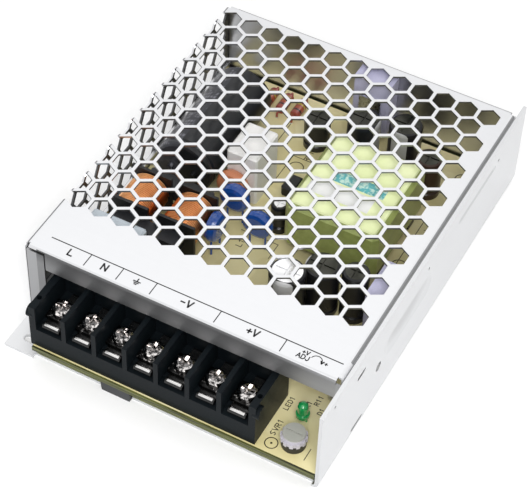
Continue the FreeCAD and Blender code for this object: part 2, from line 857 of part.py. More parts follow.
def make_side_screws():
    screws = []
    for n, y in enumerate(side_screw_places(), start=1):
        head = cone("side_screw_head_%d" % n, (LEFT, y, s.side_screw_up),
                    (s.side_screw_head_radius, s.side_screw_radius), s.cover_sheet)
        head.Placement.Rotation = Rotation(Vector(0, 0, 1), X_AXIS)
        shank = cylinder("side_screw_shank_%d" % n, (LEFT, y, s.side_screw_up),
                         s.side_screw_radius, LIP_INSIDE - LEFT, X_AXIS)
        length, width = s.side_screw_radius * 2, s.side_screw_radius / 2
        slots = [box("side_screw_slot_%d_%d" % (n, k),
                     (LEFT - 1, y - wide / 2, s.side_screw_up - tall / 2),
                     (1 + s.cover_sheet / 2, wide, tall))
                 for k, (wide, tall) in enumerate(((length, width), (width, length)))]
        screws.append(cut("side_screw_%d" % n, joined("side_screw_whole_%d" % n, head,
                          shank), *slots))
    part(together("side_screws", *screws), "cover_screws")


def board_corners(edge, front, inset):
    """The outline of the board or of its film: side gap, front edge, notch gap."""
    left = LIP_INSIDE + edge
    right = WALL_INSIDE - edge
    rear = REAR_INSIDE - s.board_rear_gap
    notch_x = across(s.board_notch_width) + inset
    notch_y = along(s.board_notch_depth) + inset
    return [(notch_x, front), (right, front), (right, rear), (left, rear),
            (left, notch_y), (notch_x, notch_y)]


def make_board():
    body = new_body("board_plate")
    corners = board_corners(s.board_side_gap, FRONT, as_size(0))
    pad(body, outline(body, "XY_Plane", corners, BOARD_UNDER), s.board_sheet)
    holes = [cylinder("board_hole_%d" % n, (x, y, BOARD_UNDER - 1),
                      s.board_screw_radius + s.board_hole_gap, s.board_sheet + 2)
             for n, (x, y) in enumerate(boss_places(), start=1)]
    part(cut("board_cut", body, *holes), "circuit_board")


def make_insulation():
    body = new_body("insulation_plate")
    corners = board_corners(s.plate_bend + s.board_side_gap,
                            PLATE_FRONT + s.insulation_front, s.insulation_front)
    pad(body, outline(body, "XY_Plane", corners, s.plate_sheet), s.insulation_sheet)
    reach = s.boss_radius + s.plate_sheet + s.board_hole_gap
    holes = [cylinder("insulation_hole_%d" % n, (x, y, as_size(0)), reach, THROUGH)
             for n, (x, y) in enumerate(boss_places(), start=1)]
    pad_room = box("pad_room", (across(s.pad_left) - s.pad_gap, FRONT, as_size(0)),
                   (s.pad_width + s.pad_gap * 2, s.pad_depth + s.pad_gap, THROUGH))
    part(cut("insulation_cut", body, pad_room, *holes), "insulation_sheet")


def make_pad():
    """A moulded foot that fills the plate's notch and carries the board's edge."""
    left, draft, front = across(s.pad_left), s.pad_draft, FRONT + s.pad_front
    right = left + s.pad_width
    body = new_body("pad_foot")
    corners = [(left + draft, as_size(0)), (right, as_size(0)), (right, BOARD_UNDER),
               (left, BOARD_UNDER)]
    foot_depth = s.pad_notch_depth - s.pad_gap - s.pad_front
    pad(body, outline(body, "XZ_Plane", corners, -(front + foot_depth)), foot_depth)
    tongue = box("pad_tongue", (left + draft, front, s.plate_sheet),
                 (s.pad_width - draft, s.pad_depth - s.pad_front, s.board_lift))
    part(joined("pad_whole", body, tongue), "front_board_pad")


def cross_slots(name, middle, length, width, depth):
    x, y, z = middle
    return [box(name + "_%d" % k, (x - wide / 2, y - tall / 2, z - depth),
                (wide, tall, depth + 1))
            for k, (wide, tall) in enumerate(((length, width), (width, length)), start=1)]


def turned_screw(name, x, y, z, shank, length, head, rise, bevel):
    """A screw turned in one piece, its head's underside at z."""
    zero = as_size(0)
    corners = [(zero, -length), (shank, -length), (shank, zero), (head, zero),
               *rim(head, rise, bevel), (zero, rise)]
    return turned(name, corners, x, y, z)


def make_board_screws():
    screws = []
    rise = s.board_screw_head_height
    for n, (x, y) in enumerate(boss_places(), start=1):
        name = "board_screw_%d" % n
        screw = turned_screw(name + "_whole", x, y, BOARD_TOP,
                             s.board_screw_radius - s.screw_clearance,
                             BOARD_TOP - s.plate_sheet, s.board_screw_head_radius,
                             rise, rise / 2)
        slots = cross_slots(name + "_slot", (x, y, BOARD_TOP + rise),
                            s.board_screw_radius * 2, s.screw_slot_width, rise / 2)
        screws.append(cut(name, screw, *slots))
    part(together("board_screws_all", *screws), "board_screws")


def way_x(number):
    return across(s.first_way + s.way_pitch * number)


WAY_ROOM = s.case_width - s.first_way - s.last_way_room
WAYS = int(float(WAY_ROOM / s.way_pitch) + COUNT_SLACK) + 1
BLOCK_FRONT = along(s.block_front)
WAY_WIDTH = s.way_pitch - s.barrier
WAY_REAR = BLOCK_FRONT + s.block_depth - s.block_rear_wall
SEAT = BOARD_TOP + s.seat_height
SCREW_Y = along(s.screw_from_front)
CLAMP_REAR = SCREW_Y + s.clamp_side / 2
ROLL_Y = BLOCK_FRONT + s.terminal_front_gap + s.terminal_nose
BLOCK_LEFT = way_x(0) - WAY_WIDTH / 2 - s.end_wall
BLOCK_RIGHT = way_x(WAYS - 1) + WAY_WIDTH / 2 + s.end_wall


def make_terminal_block():
    """A moulded block: seven open ways with walls between them."""
    top = BOARD_TOP + s.block_height
    shell = box("block_shell", (BLOCK_LEFT, BLOCK_FRONT, BOARD_TOP),
                (BLOCK_RIGHT - BLOCK_LEFT, s.block_depth, s.block_height))
    tools = []
    way_front = BLOCK_FRONT + s.sill_wall
    for n in range(WAYS):
        left = way_x(n) - WAY_WIDTH / 2
        tools.append(box("way_%d" % n, (left, way_front, SEAT),
                         (WAY_WIDTH, WAY_REAR - way_front, THROUGH)))
        tools.append(box("way_mouth_%d" % n, (left, BLOCK_FRONT - 1,
                         BOARD_TOP + s.sill_height), (WAY_WIDTH, ROLL_Y - BLOCK_FRONT
                         + s.terminal_nose + s.terminal_gap + 1, THROUGH)))
        tools.append(cylinder("way_well_%d" % n, (way_x(n), SCREW_Y,
                              SEAT - s.screw_well_depth), s.screw_well_radius, THROUGH))
        tools.append(box("way_leg_%d" % n, (way_x(n) - s.terminal_tail_width / 2
                         - s.terminal_gap, WAY_REAR - s.terminal_sheet
                         - s.terminal_gap * 2, BOARD_TOP - 1),
                         (s.terminal_tail_width + s.terminal_gap * 2,
                          s.terminal_sheet + s.terminal_gap * 2, s.seat_height + 2)))
    for n, x in enumerate((BLOCK_LEFT + s.end_wall / 2, BLOCK_RIGHT - s.end_wall / 2)):
        tools.append(cylinder("lid_hole_%d" % n, (x, along(s.cover_hole_front),
                              top - s.cover_hole_depth), s.cover_hole_radius, THROUGH))
    peg_y, peg_z = along(s.cover_peg_front) + s.block_front, BOARD_TOP + s.cover_peg_rise
    pegs = [cylinder("lid_peg_%d" % n, (x, peg_y, peg_z), s.cover_peg_radius,
                     s.cover_peg_length + s.end_wall / 2, X_AXIS)
            for n, x in enumerate((BLOCK_LEFT - s.cover_peg_length,
                                   BLOCK_RIGHT - s.end_wall / 2))]
    part(joined("block_whole", cut("block_cut", shell, *tools), *pegs), "terminal_block")


def make_terminal_plates():
    """Plates with a rolled front edge, that narrow behind and bend down to the board."""
    plates = []
    leg_rear = WAY_REAR - s.terminal_gap
    leg_front = leg_rear - s.terminal_sheet
    top = SEAT + s.terminal_sheet
    for n in range(WAYS):
        x, name = way_x(n), "terminal_plate_%d" % n
        strip = new_body(name + "_strip")
        corners = [(ROLL_Y, SEAT), (leg_front, SEAT), (leg_front, BOARD_TOP),
                   (leg_rear, BOARD_TOP), *[(leg_rear - s.terminal_bend + side, height)
                                            for side, height in rim(s.terminal_bend, top,
                                                                    s.terminal_bend)],
                   (ROLL_Y, top)]
        pad(strip, outline(strip, "YZ_Plane", corners, x - s.terminal_tail_width / 2),
            s.terminal_tail_width)
        flat = box(name + "_flat", (x - s.terminal_width / 2, ROLL_Y, SEAT),
                   (s.terminal_width, CLAMP_REAR + s.terminal_reach - ROLL_Y,
                    s.terminal_sheet))
        roll = cylinder(name + "_roll", (x - s.terminal_width / 2, ROLL_Y,
                        top - s.terminal_sheet / 2), s.terminal_nose, s.terminal_width,
                        X_AXIS)
        hole = cylinder(name + "_hole", (x, SCREW_Y, SEAT - 1),
                        s.screw_radius + s.screw_clearance, s.terminal_sheet + 3)
        plates.append(cut(name, joined(name + "_whole", strip, flat, roll), hole))
    part(together("terminal_plates_all", *plates), "terminal_plates")


def make_clamps_and_screws():
    clamp_z = SEAT + s.terminal_sheet + s.screw_rest_gap
    head_z = clamp_z + s.clamp_sheet + s.screw_rest_gap
    half = s.clamp_side / 2
    for n in range(WAYS):
        x, number = way_x(n), n + 1
        name = "clamp_washer_%d" % number
        body = new_body(name + "_fold")
        camber = s.clamp_camber
        front, rear = SCREW_Y - half, SCREW_Y + half
        corners = [(front, clamp_z), (SCREW_Y - half / 2, clamp_z + camber),
                   (SCREW_Y + half / 2, clamp_z + camber), (rear, clamp_z),
                   (rear, clamp_z + s.clamp_sheet - camber),
                   (SCREW_Y + half / 2, clamp_z + s.clamp_sheet),
                   (SCREW_Y - half / 2, clamp_z + s.clamp_sheet),
                   (front, clamp_z + s.clamp_sheet - camber)]
        pad(body, outline(body, "YZ_Plane", corners, x - half), s.clamp_side)
        hole = cylinder(name + "_hole", (x, SCREW_Y, clamp_z - 1),
                        s.screw_radius + s.screw_clearance, s.clamp_sheet + 2)
        part(cut(name + "_cut", body, hole), name)
        name = "terminal_screw_%d" % number
        screw = turned_screw(name + "_whole", x, SCREW_Y, head_z, s.screw_radius,
                             s.screw_length, s.screw_head_radius, s.screw_head_height,
                             s.screw_head_round)
        slots = cross_slots(name + "_slot", (x, SCREW_Y, head_z + s.screw_head_height),
                            s.screw_slot_length, s.screw_slot_width, s.screw_slot_depth)
        part(cut(name + "_cut", screw, *slots), name)


def make_led():
    """A lens with a domed top and a rim, on two legs."""
    x, y = RIGHT - s.led_right, along(s.led_front)
    foot = BOARD_TOP + s.led_leg_height
    zero, radius, rim_radius = as_size(0), s.led_radius, s.led_radius + s.led_rim
    shoulder = s.led_height - radius
    corners = [(zero, zero), (rim_radius, zero), (rim_radius, s.led_rim_height),
               (radius, s.led_rim_height)]
    for step in range(DOME_STEPS):
        turn = math.radians(DOME_TURN * step / DOME_STEPS)
        corners.append((radius * math.cos(turn), shoulder + radius * math.sin(turn)))
    corners.append((zero, s.led_height))
    lens = turned("led_lens", corners, x, y, foot)
    side = s.led_leg_side
    legs = [box("led_leg_%d" % n, (x + shift - side / 2, y - side / 2, BOARD_TOP),
                (side, side, s.led_leg_height + side))
            for n, shift in enumerate((-s.led_leg_spacing / 2, s.led_leg_spacing / 2))]
    part(joined("led_whole", lens, *legs), "status_led")


def make_trimmer():
    x, y = RIGHT - s.trimmer_right, along(s.trimmer_front)
    base_top = BOARD_TOP + s.trimmer_base_height
    base = cylinder("trimmer_drum", (x, y, BOARD_TOP), s.trimmer_base_radius,
                    s.trimmer_base_height)
    pin = cylinder("trimmer_pin", (x, y, base_top - 1), s.trimmer_pin_radius,
                   s.trimmer_pin_depth + 1)
    part(joined("trimmer_base_whole", base, pin), "trimmer_base")
    foot = base_top + s.screw_rest_gap
    ring_height = s.trimmer_ring_height
    ring = cylinder("knob_ring", (x, y, foot), s.trimmer_knob_radius, ring_height)
    cap = cylinder("knob_cap", (x, y, foot), s.trimmer_cap_radius, s.trimmer_knob_height)
    tools = [cylinder("knob_bore", (x, y, foot - 1), s.trimmer_pin_radius
                      + s.screw_clearance, s.trimmer_pin_depth + 1 + s.trimmer_bore_end)]
    reach = s.trimmer_knob_radius - s.trimmer_teeth_depth
    for n in range(TRIMMER_TEETH):
        gap = box("knob_gap_%d" % n, (x, y, foot - 1),
                  (s.trimmer_knob_radius, s.trimmer_tooth_width, ring_height + 2))
        turn = 360.0 * n / TRIMMER_TEETH
        gap.Placement.Rotation = Rotation(Vector(0, 0, 1), turn)
        side = math.radians(turn)
        place(gap, x + reach * math.cos(side) + s.trimmer_tooth_width / 2 * math.sin(side),
              y + reach * math.sin(side) - s.trimmer_tooth_width / 2 * math.cos(side),
              foot - 1)
        tools.append(gap)
    slot_length = s.trimmer_cap_radius * VENT_REACH
    tools.append(box("knob_slot", (x - slot_length / 2, y - s.trimmer_slot_width / 2,
                     foot + s.trimmer_knob_height - s.trimmer_slot_depth),
                     (slot_length, s.trimmer_slot_width, s.trimmer_slot_depth + 1)))
    part(cut("knob_cut", joined("knob_whole", ring, cap), *tools), "trimmer_knob")


def make_transformer():
    """A flat core and its winding under tape, on a bobbin with two rows of pins."""
    left, front = across(s.transformer_left), along(s.transformer_front)
    width, depth = s.transformer_width, REAR - s.transformer_rear - front
    foot = BOARD_TOP + s.transformer_rise
    tape = s.tape_sheet
    outer = box("tape_outer", (left, front, foot), (width, depth, s.transformer_height))
    outer = bevelled("tape_round", outer, s.tape_round, above(foot))
    inner = box("tape_inner", (left + tape, front + tape, foot),
                (width - tape * 2, depth - tape * 2, s.transformer_height - tape))
    inner = bevelled("tape_inner_round", inner, s.tape_round - tape, above(foot))
    part(cut("tape_cut", outer, inner), "transformer_tape")
    gap = tape + s.part_gap
    core_left, core_front = left + gap, front + gap
    core_width, core_depth = width - gap * 2, depth - gap * 2
    core_foot = foot + s.core_rise
    core_height = s.transformer_height - s.core_rise - gap - s.core_drop
    slab = box("core_slab", (core_left, core_front, core_foot),
               (core_width, core_depth, core_height))
    slab = bevelled("core_round", slab, s.tape_round - gap, upright)
    leg = s.core_leg
    window = (core_width - leg - s.core_wall * 2) / 2
    windows = [box("core_window_%d" % n, (x, core_front + s.core_wall, core_foot - 1),
                   (window, core_depth - s.core_wall * 2, core_height + 2))
               for n, x in enumerate((core_left + s.core_wall,
                                      core_left + s.core_wall + window + leg))]
    part(cut("core_cut", slab, *windows), "transformer_core")
    tube = s.bobbin_sheet
    clear = s.part_gap
    leg_left = core_left + s.core_wall + window
    room_front = core_front + s.core_wall + clear
    room_depth = core_depth - (s.core_wall + clear) * 2
    sleeve_low = (leg_left - clear - tube, room_front, core_foot - clear - tube)
    sleeve_size = (leg + (clear + tube) * 2, room_depth, core_height + (clear + tube) * 2)
    sleeve = box("bobbin_sleeve", sleeve_low, sleeve_size)
    flange_left = core_left + s.core_wall + clear
    flange_width = core_width - (s.core_wall + clear) * 2
    flange_foot = core_foot - s.bobbin_foot
    flange_height = core_height + s.bobbin_foot + s.core_drop - clear
    flanges = [box("bobbin_flange_%d" % n, (flange_left, y, flange_foot),
                   (flange_width, tube, flange_height))
               for n, y in enumerate((room_front, room_front + room_depth - tube))]
    rails = [box("bobbin_rail_%d" % n, (core_left, y, flange_foot - s.rail_height),
                 (core_width, s.rail_depth, s.rail_height))
             for n, y in enumerate((room_front, room_front + room_depth - s.rail_depth))]
    hollow = box("bobbin_hollow", (leg_left - clear, core_front, core_foot - clear),
                 (leg + clear * 2, core_depth, core_height + clear * 2))
    pins = []
    for side, y in enumerate((room_front + s.rail_depth / 2,
                              room_front + room_depth - s.rail_depth / 2)):
        for n in range(PINS):
            x = core_left + core_width * (n + 0.5) / PINS
            pins.append(cylinder("bobbin_pin_%d_%d" % (side, n), (x, y, BOARD_TOP),
                                 s.lead_radius, flange_foot - BOARD_TOP))
    part(cut("bobbin_cut", joined("bobbin_whole", sleeve, *flanges, *rails, *pins), hollow),
         "transformer_bobbin")
    coil_front = room_front + tube + clear
    coil = box("coil_outer", (flange_left, coil_front, flange_foot + clear),
               (flange_width, room_depth - (tube + clear) * 2, flange_height - clear))
    coil = bevelled("coil_round", coil, s.tape_round, lambda edge: abs(
        edge.Vertexes[0].Point.y - edge.Vertexes[-1].Point.y) > 1)
    hole = box("coil_hole", (sleeve_low[0] - clear, coil_front - 1,
               sleeve_low[2] - clear), (sleeve_size[0] + clear * 2, room_depth,
                                        sleeve_size[2] + clear * 2))
    part(cut("coil_cut", coil, hole), "transformer_winding")


def make_choke():
    """A frame core with one winding on each long leg."""
    left, front = across(s.choke_left), along(s.choke_front)
    middle = BOARD_TOP + s.choke_rise
    thick, leg, clear = s.choke_thickness, s.choke_leg, s.part_gap
    foot = middle - thick / 2
    slab = box("choke_slab", (left, front, foot), (s.choke_width, s.choke_depth, thick))
    window = box("choke_window", (left + leg, front + s.choke_yoke, foot - 1),
                 (s.choke_width - leg * 2, s.choke_depth - s.choke_yoke * 2, thick + 2))
    slab = bevelled("choke_round", slab, s.moulding_round, upright)
    part(cut("choke_cut", slab, window), "choke_core")
    room_front = front + s.choke_yoke + clear
    room = s.choke_depth - (s.choke_yoke + clear) * 2
    flange = s.choke_flange
    bobbins = []
    for n, x in enumerate((left + leg / 2, left + s.choke_width - leg / 2), start=1):
        half = s.choke_winding_radius + s.choke_flange_reach
        plates = [box("choke_plate_%d_%d" % (n, k), (x - half, y, middle - half),
                      (half * 2, flange, half * 2))
                  for k, y in enumerate((room_front, room_front + room - flange))]
        sleeve_radius = leg * SQUARE_REACH + s.choke_sleeve + clear
        sleeve = cylinder("choke_sleeve_%d" % n, (x, room_front, middle), sleeve_radius,
                          room, Y_AXIS)
        bore = box("choke_bore_%d" % n, (x - leg / 2 - clear, room_front - 1,
                   middle - thick / 2 - clear), (leg + clear * 2, room + 2,
                                                 thick + clear * 2))
        feet = [cylinder("choke_pin_%d_%d" % (n, k), (x, y + flange / 2, BOARD_TOP),
                         s.lead_radius, middle - half - BOARD_TOP + flange)
                for k, y in enumerate((room_front, room_front + room - flange))]
        bobbins.append(cut("choke_bobbin_%d" % n, joined("choke_bobbin_whole_%d" % n,
                           sleeve, *plates, *feet), bore))
        coil_front = room_front + flange + clear
        coil_length = room - (flange + clear) * 2
        coil = cylinder("choke_coil_%d" % n, (x, coil_front, middle),
                        s.choke_winding_radius, coil_length, Y_AXIS)
        hole = cylinder("choke_hole_%d" % n, (x, coil_front - 1, middle),
                        sleeve_radius + clear, coil_length + 2, Y_AXIS)
        part(cut("choke_coil_cut_%d" % n, coil, hole), "choke_winding_%d" % n)
    part(together("choke_bobbins", *bobbins), "choke_bobbin")


def make_bulk_capacitor():
    """The large can lies on its side, with its leads bent down to the board."""
    x, front = across(s.bulk_left), along(s.bulk_front)
    z = BOARD_TOP + s.bulk_lift + s.bulk_radius
    zero, radius, length = as_size(0), s.bulk_radius, REAR - s.bulk_rear - front
    corners = [(zero, zero), *foot_rim(radius, s.can_round),
               *groove(radius, s.can_groove_height, s.can_groove),
               *rim(radius, length, s.can_round), (zero, length)]
    can = turned("bulk_can", corners, x, front, z, Y_AXIS)
    leads = []
    for n, shift in enumerate((-s.bulk_lead_spacing / 2, s.bulk_lead_spacing / 2)):
        leads.append(cylinder("bulk_lead_%d" % n, (x + shift, front - s.bulk_lead_reach,
                     z), s.lead_radius * 2, s.bulk_lead_reach + 1, Y_AXIS))
        leads.append(cylinder("bulk_leg_%d" % n, (x + shift, front - s.bulk_lead_reach
                     + s.lead_radius * 2, BOARD_TOP), s.lead_radius * LEG_REACH,
                     z - BOARD_TOP))
    part(joined("bulk_whole", can, *leads), "bulk_capacitor")


def make_moulded_box(name, left, front, width, depth, height):
    """A moulded part that stands on the board, with its edges bevelled."""
    shell = box(name + "_shell", (across(left), along(front), BOARD_TOP),
                (width, depth, height))
    part(bevelled(name + "_round", shell, s.moulding_round, above(BOARD_TOP)), name)


def make_disc(name, middle, radius, thickness, rise, direction):
    """A coated disc that stands on two leads; its flat faces look along a direction."""
    x, y = middle
    z = BOARD_TOP + rise + radius
    zero, bevel = as_size(0), thickness * DISC_ROUND
    corners = [(zero, zero), *foot_rim(radius, bevel), *rim(radius, thickness, bevel),
               (zero, thickness)]
    half, reach = thickness / 2, s.disc_lead_spacing / 2
    if direction == X_AXIS:
        disc = turned(name + "_disc", corners, x - half, y, z, direction)
        lead_places = [(x, y - reach), (x, y + reach)]
    else:
        disc = turned(name + "_disc", corners, x, y - half, z, direction)
        lead_places = [(x - reach, y), (x + reach, y)]
    leads = [cylinder(name + "_lead_%d" % n, (lead_x, lead_y, BOARD_TOP), s.lead_radius,
                      rise + radius * DISC_LEAD_REACH)
             for n, (lead_x, lead_y) in enumerate(lead_places)]
    part(joined(name + "_whole", disc, *leads), name)


def make_can(name):
    """An upright electrolytic can with a crimp groove and a vent cross."""
    radius, height = s.sizes[name + "_radius"], s.sizes[name + "_height"]
    x, y = spot(name)
    zero = as_size(0)
    corners = [(zero, zero), (radius, zero),
               *groove(radius, s.can_groove_height, s.can_groove),
               *rim(radius, height, s.can_round), (zero, height)]
    can = turned(name + "_can", corners, x, y, BOARD_TOP)
    vents = cross_slots(name + "_vent", (x, y, BOARD_TOP + height), radius * VENT_REACH,
                        s.can_vent_width, s.can_vent_depth)
    part(cut(name + "_cut", can, *vents), name)


def make_bridge():
    """A flat bridge rectifier with a cut corner, on four leads."""
    left, front = across(s.bridge_left), along(s.bridge_front)
    foot = BOARD_TOP + s.disc_lead_height
    width, height = s.bridge_width, s.bridge_height
    chamfer = s.bridge_chamfer
    body = new_body("bridge_moulding")
    corners = [(left, foot), (left + width, foot), (left + width, foot + height),
               (left + chamfer, foot + height), (left, foot + height - chamfer)]
    pad(body, outline(body, "XZ_Plane", corners, -(front + s.bridge_depth)), s.bridge_depth)
    leads = [cylinder("bridge_lead_%d" % n, (left + width * (n + 0.5) / 4,
                      front + s.bridge_depth / 2, BOARD_TOP), s.lead_radius * LEG_REACH,
                      s.disc_lead_height + 1) for n in range(4)]
    part(joined("bridge_whole", body, *leads), "bridge_rectifier")


def make_power_device(name, wall_point, direction, cap_top, sheets):
    """A power device in a silicone cap, held on a wall by a spring clip.

    The wall point is where the cap's back meets the wall, at the cap's middle, and
    the direction, along X or Y, points from the wall into the case. The sheets are
    the thicknesses of the cap's wall and of the device.
    """
    x, y = wall_point
    dx, dy = direction
    device_foot = BOARD_TOP + s.device_lift
    wall, thick = sheets
    gap, width = s.part_gap, s.device_width

    def slab(label, near, far, half, low, high):
        """A box from near to far off the wall, with a half width."""
        if dy:
            low_y = y + far * dy if dy < 0 else y + near
            return box(label, (x - half, low_y, low), (half * 2, far - near, high - low))
        low_x = x + far * dx if dx < 0 else x + near
        return box(label, (low_x, y - half, low), (far - near, half * 2, high - low))

    inner = wall + gap
    cap_far = wall * 2 + gap * 2 + thick
    outer = slab(name + "_cap_outer", as_size(0), cap_far, width / 2 + inner,
                 device_foot, cap_top)
    outer = rounded(name + "_cap_round", outer, s.moulding_round, upright)
    hollow = slab(name + "_cap_inner", wall, cap_far - wall, width / 2 + gap,
                  device_foot - 1, cap_top - wall)
    part(cut(name + "_cap_cut", outer, hollow), name + "_cap")
    body = slab(name + "_body", inner, inner + thick, width / 2,
                device_foot + s.device_step, device_foot + s.device_height)
    tab = slab(name + "_tab", inner, inner + s.device_tab, width / 2,
               device_foot + s.device_step, cap_top - wall - gap)
    leads = []
    for n, shift in enumerate((-s.device_pitch, as_size(0), s.device_pitch)):
        middle = inner + thick / 2
        lead_x = x + shift if dy else x + middle * dx
        lead_y = y + middle * dy if dy else y + shift
        leads.append(cylinder("%s_lead_%d" % (name, n), (lead_x, lead_y, BOARD_TOP),
                              s.lead_radius, s.device_lift + s.device_step + 1))
    part(joined(name + "_whole", body, tab, *leads), name)
    clip_near = cap_far + s.clip_gap
    spring = slab(name + "_spring", clip_near, clip_near + s.clip_sheet, s.clip_width / 2,
                  BOARD_TOP, device_foot + s.clip_height)
    foot = slab(name + "_foot", clip_near, clip_near + s.clip_foot, s.clip_width / 2,
                BOARD_TOP, BOARD_TOP + s.clip_sheet)
    lip = slab(name + "_lip", clip_near, clip_near + s.clip_foot / 2, s.clip_width / 2,
               device_foot + s.clip_height - s.clip_sheet, device_foot + s.clip_height)
    part(joined(name + "_clip_whole", spring, foot, lip), name + "_clip")


def make_resistors():
    resistors = []
    radius, length, zero = s.resistor_radius, s.resistor_length, as_size(0)
    z = BOARD_TOP + radius + s.part_gap
    for n in range(RESISTORS):
        x = across(s.resistor_left) + s.resistor_step * n
        y = REAR - s.resistor_rear
        name = "resistor_%d" % n
        bevel = radius / 3
        corners = [(zero, zero), *foot_rim(radius, bevel), *rim(radius, length, bevel),
                   (zero, length)]
        rod = turned(name + "_rod", corners, x, y, z, Y_AXIS)
        wire = cylinder(name + "_wire", (x, y - radius, z), s.lead_radius,
                        length + radius * 2, Y_AXIS)
        legs = [cylinder(name + "_leg_%d" % k, (x, leg_y, BOARD_TOP), s.lead_radius,
                         z - BOARD_TOP)
                for k, leg_y in enumerate((y - radius, y + length + radius))]
        resistors.append(joined(name, rod, wire, *legs))
    part(together("resistors_all", *resistors), "resistors")


MAKERS = (make_chassis, make_cover, make_side_screws, make_board, make_insulation,
          make_pad, make_board_screws, make_terminal_block, make_terminal_plates,
          make_clamps_and_screws, make_led, make_trimmer, make_transformer,
          make_choke, make_bulk_capacitor, make_bridge, make_resistors)
for make in MAKERS:
    make()
make_moulded_box("line_capacitor", s.line_capacitor_left, s.line_capacitor_front,
                 s.line_capacitor_width, s.line_capacitor_depth, s.line_capacitor_height)
make_moulded_box("film_capacitor", s.film_left, s.film_front, s.film_width, s.film_depth,
                 s.film_height)
make_moulded_box("fuse", s.fuse_left, s.fuse_front, s.fuse_width, s.fuse_depth,
                 s.fuse_height)
make_moulded_box("optocoupler", s.coupler_left, s.coupler_front, s.coupler_width,
                 s.coupler_depth, s.coupler_height)
for disc_name, disc_direction in (("blue_disc_1", Y_AXIS), ("blue_disc_2", X_AXIS),
                                  ("blue_disc_3", Y_AXIS)):
    make_disc(disc_name, spot(disc_name), s.disc_radius, s.disc_thickness,
              s.blue_lead_height, disc_direction)
make_disc("surge_disc", spot("surge"), s.surge_radius, s.surge_thickness,
          s.disc_lead_height, Y_AXIS)
make_disc("inrush_disc", spot("inrush"), s.surge_radius, s.inrush_thickness,
          s.disc_lead_height, X_AXIS)
for can_name in CANS:
    make_can(can_name)
make_power_device("switch_transistor", (across(s.switch_middle), REAR_INSIDE
                  - s.part_gap), (0, -1), HEADROOM - s.switch_cap_headroom,
                  (s.device_cap_wall, s.device_sheet))
make_power_device("output_rectifier", (WALL_INSIDE - s.dimple_depth - s.part_gap,
                  along(s.rectifier_middle)), (-1, 0),
                  HEADROOM - s.rectifier_cap_headroom,
                  (s.rectifier_cap_wall, s.rectifier_sheet))

doc.recompute()
for thing in doc.Objects:
    if "Invalid" in thing.State or "Error" in thing.State:
        raise RuntimeError("failed: " + thing.Name)
for thing in parts:
    if thing.Shape.isNull() or not thing.Shape.isValid():
        raise RuntimeError("bad shape: " + thing.Label)
os.makedirs("parts", exist_ok=True)
for thing in parts:
    thing.Shape.exportStep("parts/%s.step" % thing.Label)
    print(thing.Label, len(thing.Shape.Solids), round(thing.Shape.Volume, 2))
print(len(parts), "sub-parts")
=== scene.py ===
# %% [markdown]
# A power supply in a folded metal case, with a hexagon mesh over its circuit board.
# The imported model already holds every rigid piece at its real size. This script gives
# each one its finish, and adds what a solid model leaves out: wire turns, printed marks
# and the transformer's label. It is written in steps, and each says what it makes.

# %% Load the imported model
import json
import math
import bmesh
import bpy
from mathutils import Matrix, Vector


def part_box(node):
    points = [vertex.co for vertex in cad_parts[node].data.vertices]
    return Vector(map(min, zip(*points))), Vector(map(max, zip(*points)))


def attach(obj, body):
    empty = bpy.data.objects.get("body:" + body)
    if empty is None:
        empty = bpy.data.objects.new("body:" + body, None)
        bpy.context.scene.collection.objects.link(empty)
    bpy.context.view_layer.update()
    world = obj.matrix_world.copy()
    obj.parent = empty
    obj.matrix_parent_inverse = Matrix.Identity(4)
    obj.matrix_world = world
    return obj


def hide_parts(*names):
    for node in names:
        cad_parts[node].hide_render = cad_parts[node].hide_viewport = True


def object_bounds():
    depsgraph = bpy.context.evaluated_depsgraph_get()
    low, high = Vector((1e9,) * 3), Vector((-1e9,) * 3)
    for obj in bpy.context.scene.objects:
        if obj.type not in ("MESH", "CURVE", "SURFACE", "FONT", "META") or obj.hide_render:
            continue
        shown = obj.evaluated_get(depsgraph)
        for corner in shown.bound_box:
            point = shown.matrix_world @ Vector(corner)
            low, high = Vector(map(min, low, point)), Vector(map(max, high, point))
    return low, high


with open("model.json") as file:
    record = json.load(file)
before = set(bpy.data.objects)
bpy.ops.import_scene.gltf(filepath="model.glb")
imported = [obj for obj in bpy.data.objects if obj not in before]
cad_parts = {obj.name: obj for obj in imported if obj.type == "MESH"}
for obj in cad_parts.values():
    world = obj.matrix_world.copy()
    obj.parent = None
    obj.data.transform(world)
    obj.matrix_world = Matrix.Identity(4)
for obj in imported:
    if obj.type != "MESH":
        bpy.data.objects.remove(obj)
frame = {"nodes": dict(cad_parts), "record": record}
cad_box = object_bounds()
nodes = frame["nodes"]
MM = 0.001
print("nodes:", len(nodes))


# %% [markdown]
# The camera stands high at the front right corner, far back, with a long lens, as a
# catalogue picture does. Its place was worked out from the points of the mesh and the
# corners of the case, with the case's width and length given. Most points fit to about
# half a pixel, and a few corners miss by several. The picture has a small roll too.

# %% Camera
CAMERA_PLACE = Vector((0.159256, -0.321802, 0.405544))
CAMERA_AIM = Vector((-0.003163, 0.003074, 0.0))
CAMERA_ROLL = math.radians(2.3932)
CAMERA_LENS = 127.15
SENSOR_WIDTH = 36.0
CAMERA_REACH = 50

camera = bpy.data.objects.new("camera", bpy.data.cameras.new("camera"))
camera.data.lens = CAMERA_LENS
camera.data.sensor_width = SENSOR_WIDTH
camera.data.clip_end = CAMERA_REACH
gaze = (CAMERA_AIM - CAMERA_PLACE).to_track_quat("-Z", "Y").to_matrix().to_4x4()
roll = Matrix.Rotation(CAMERA_ROLL, 4, "Z")
camera.matrix_world = Matrix.Translation(CAMERA_PLACE) @ gaze @ roll
bpy.context.scene.collection.objects.link(camera)
bpy.context.scene.camera = camera
print("camera distance:", round((CAMERA_AIM - CAMERA_PLACE).length, 3), "m")


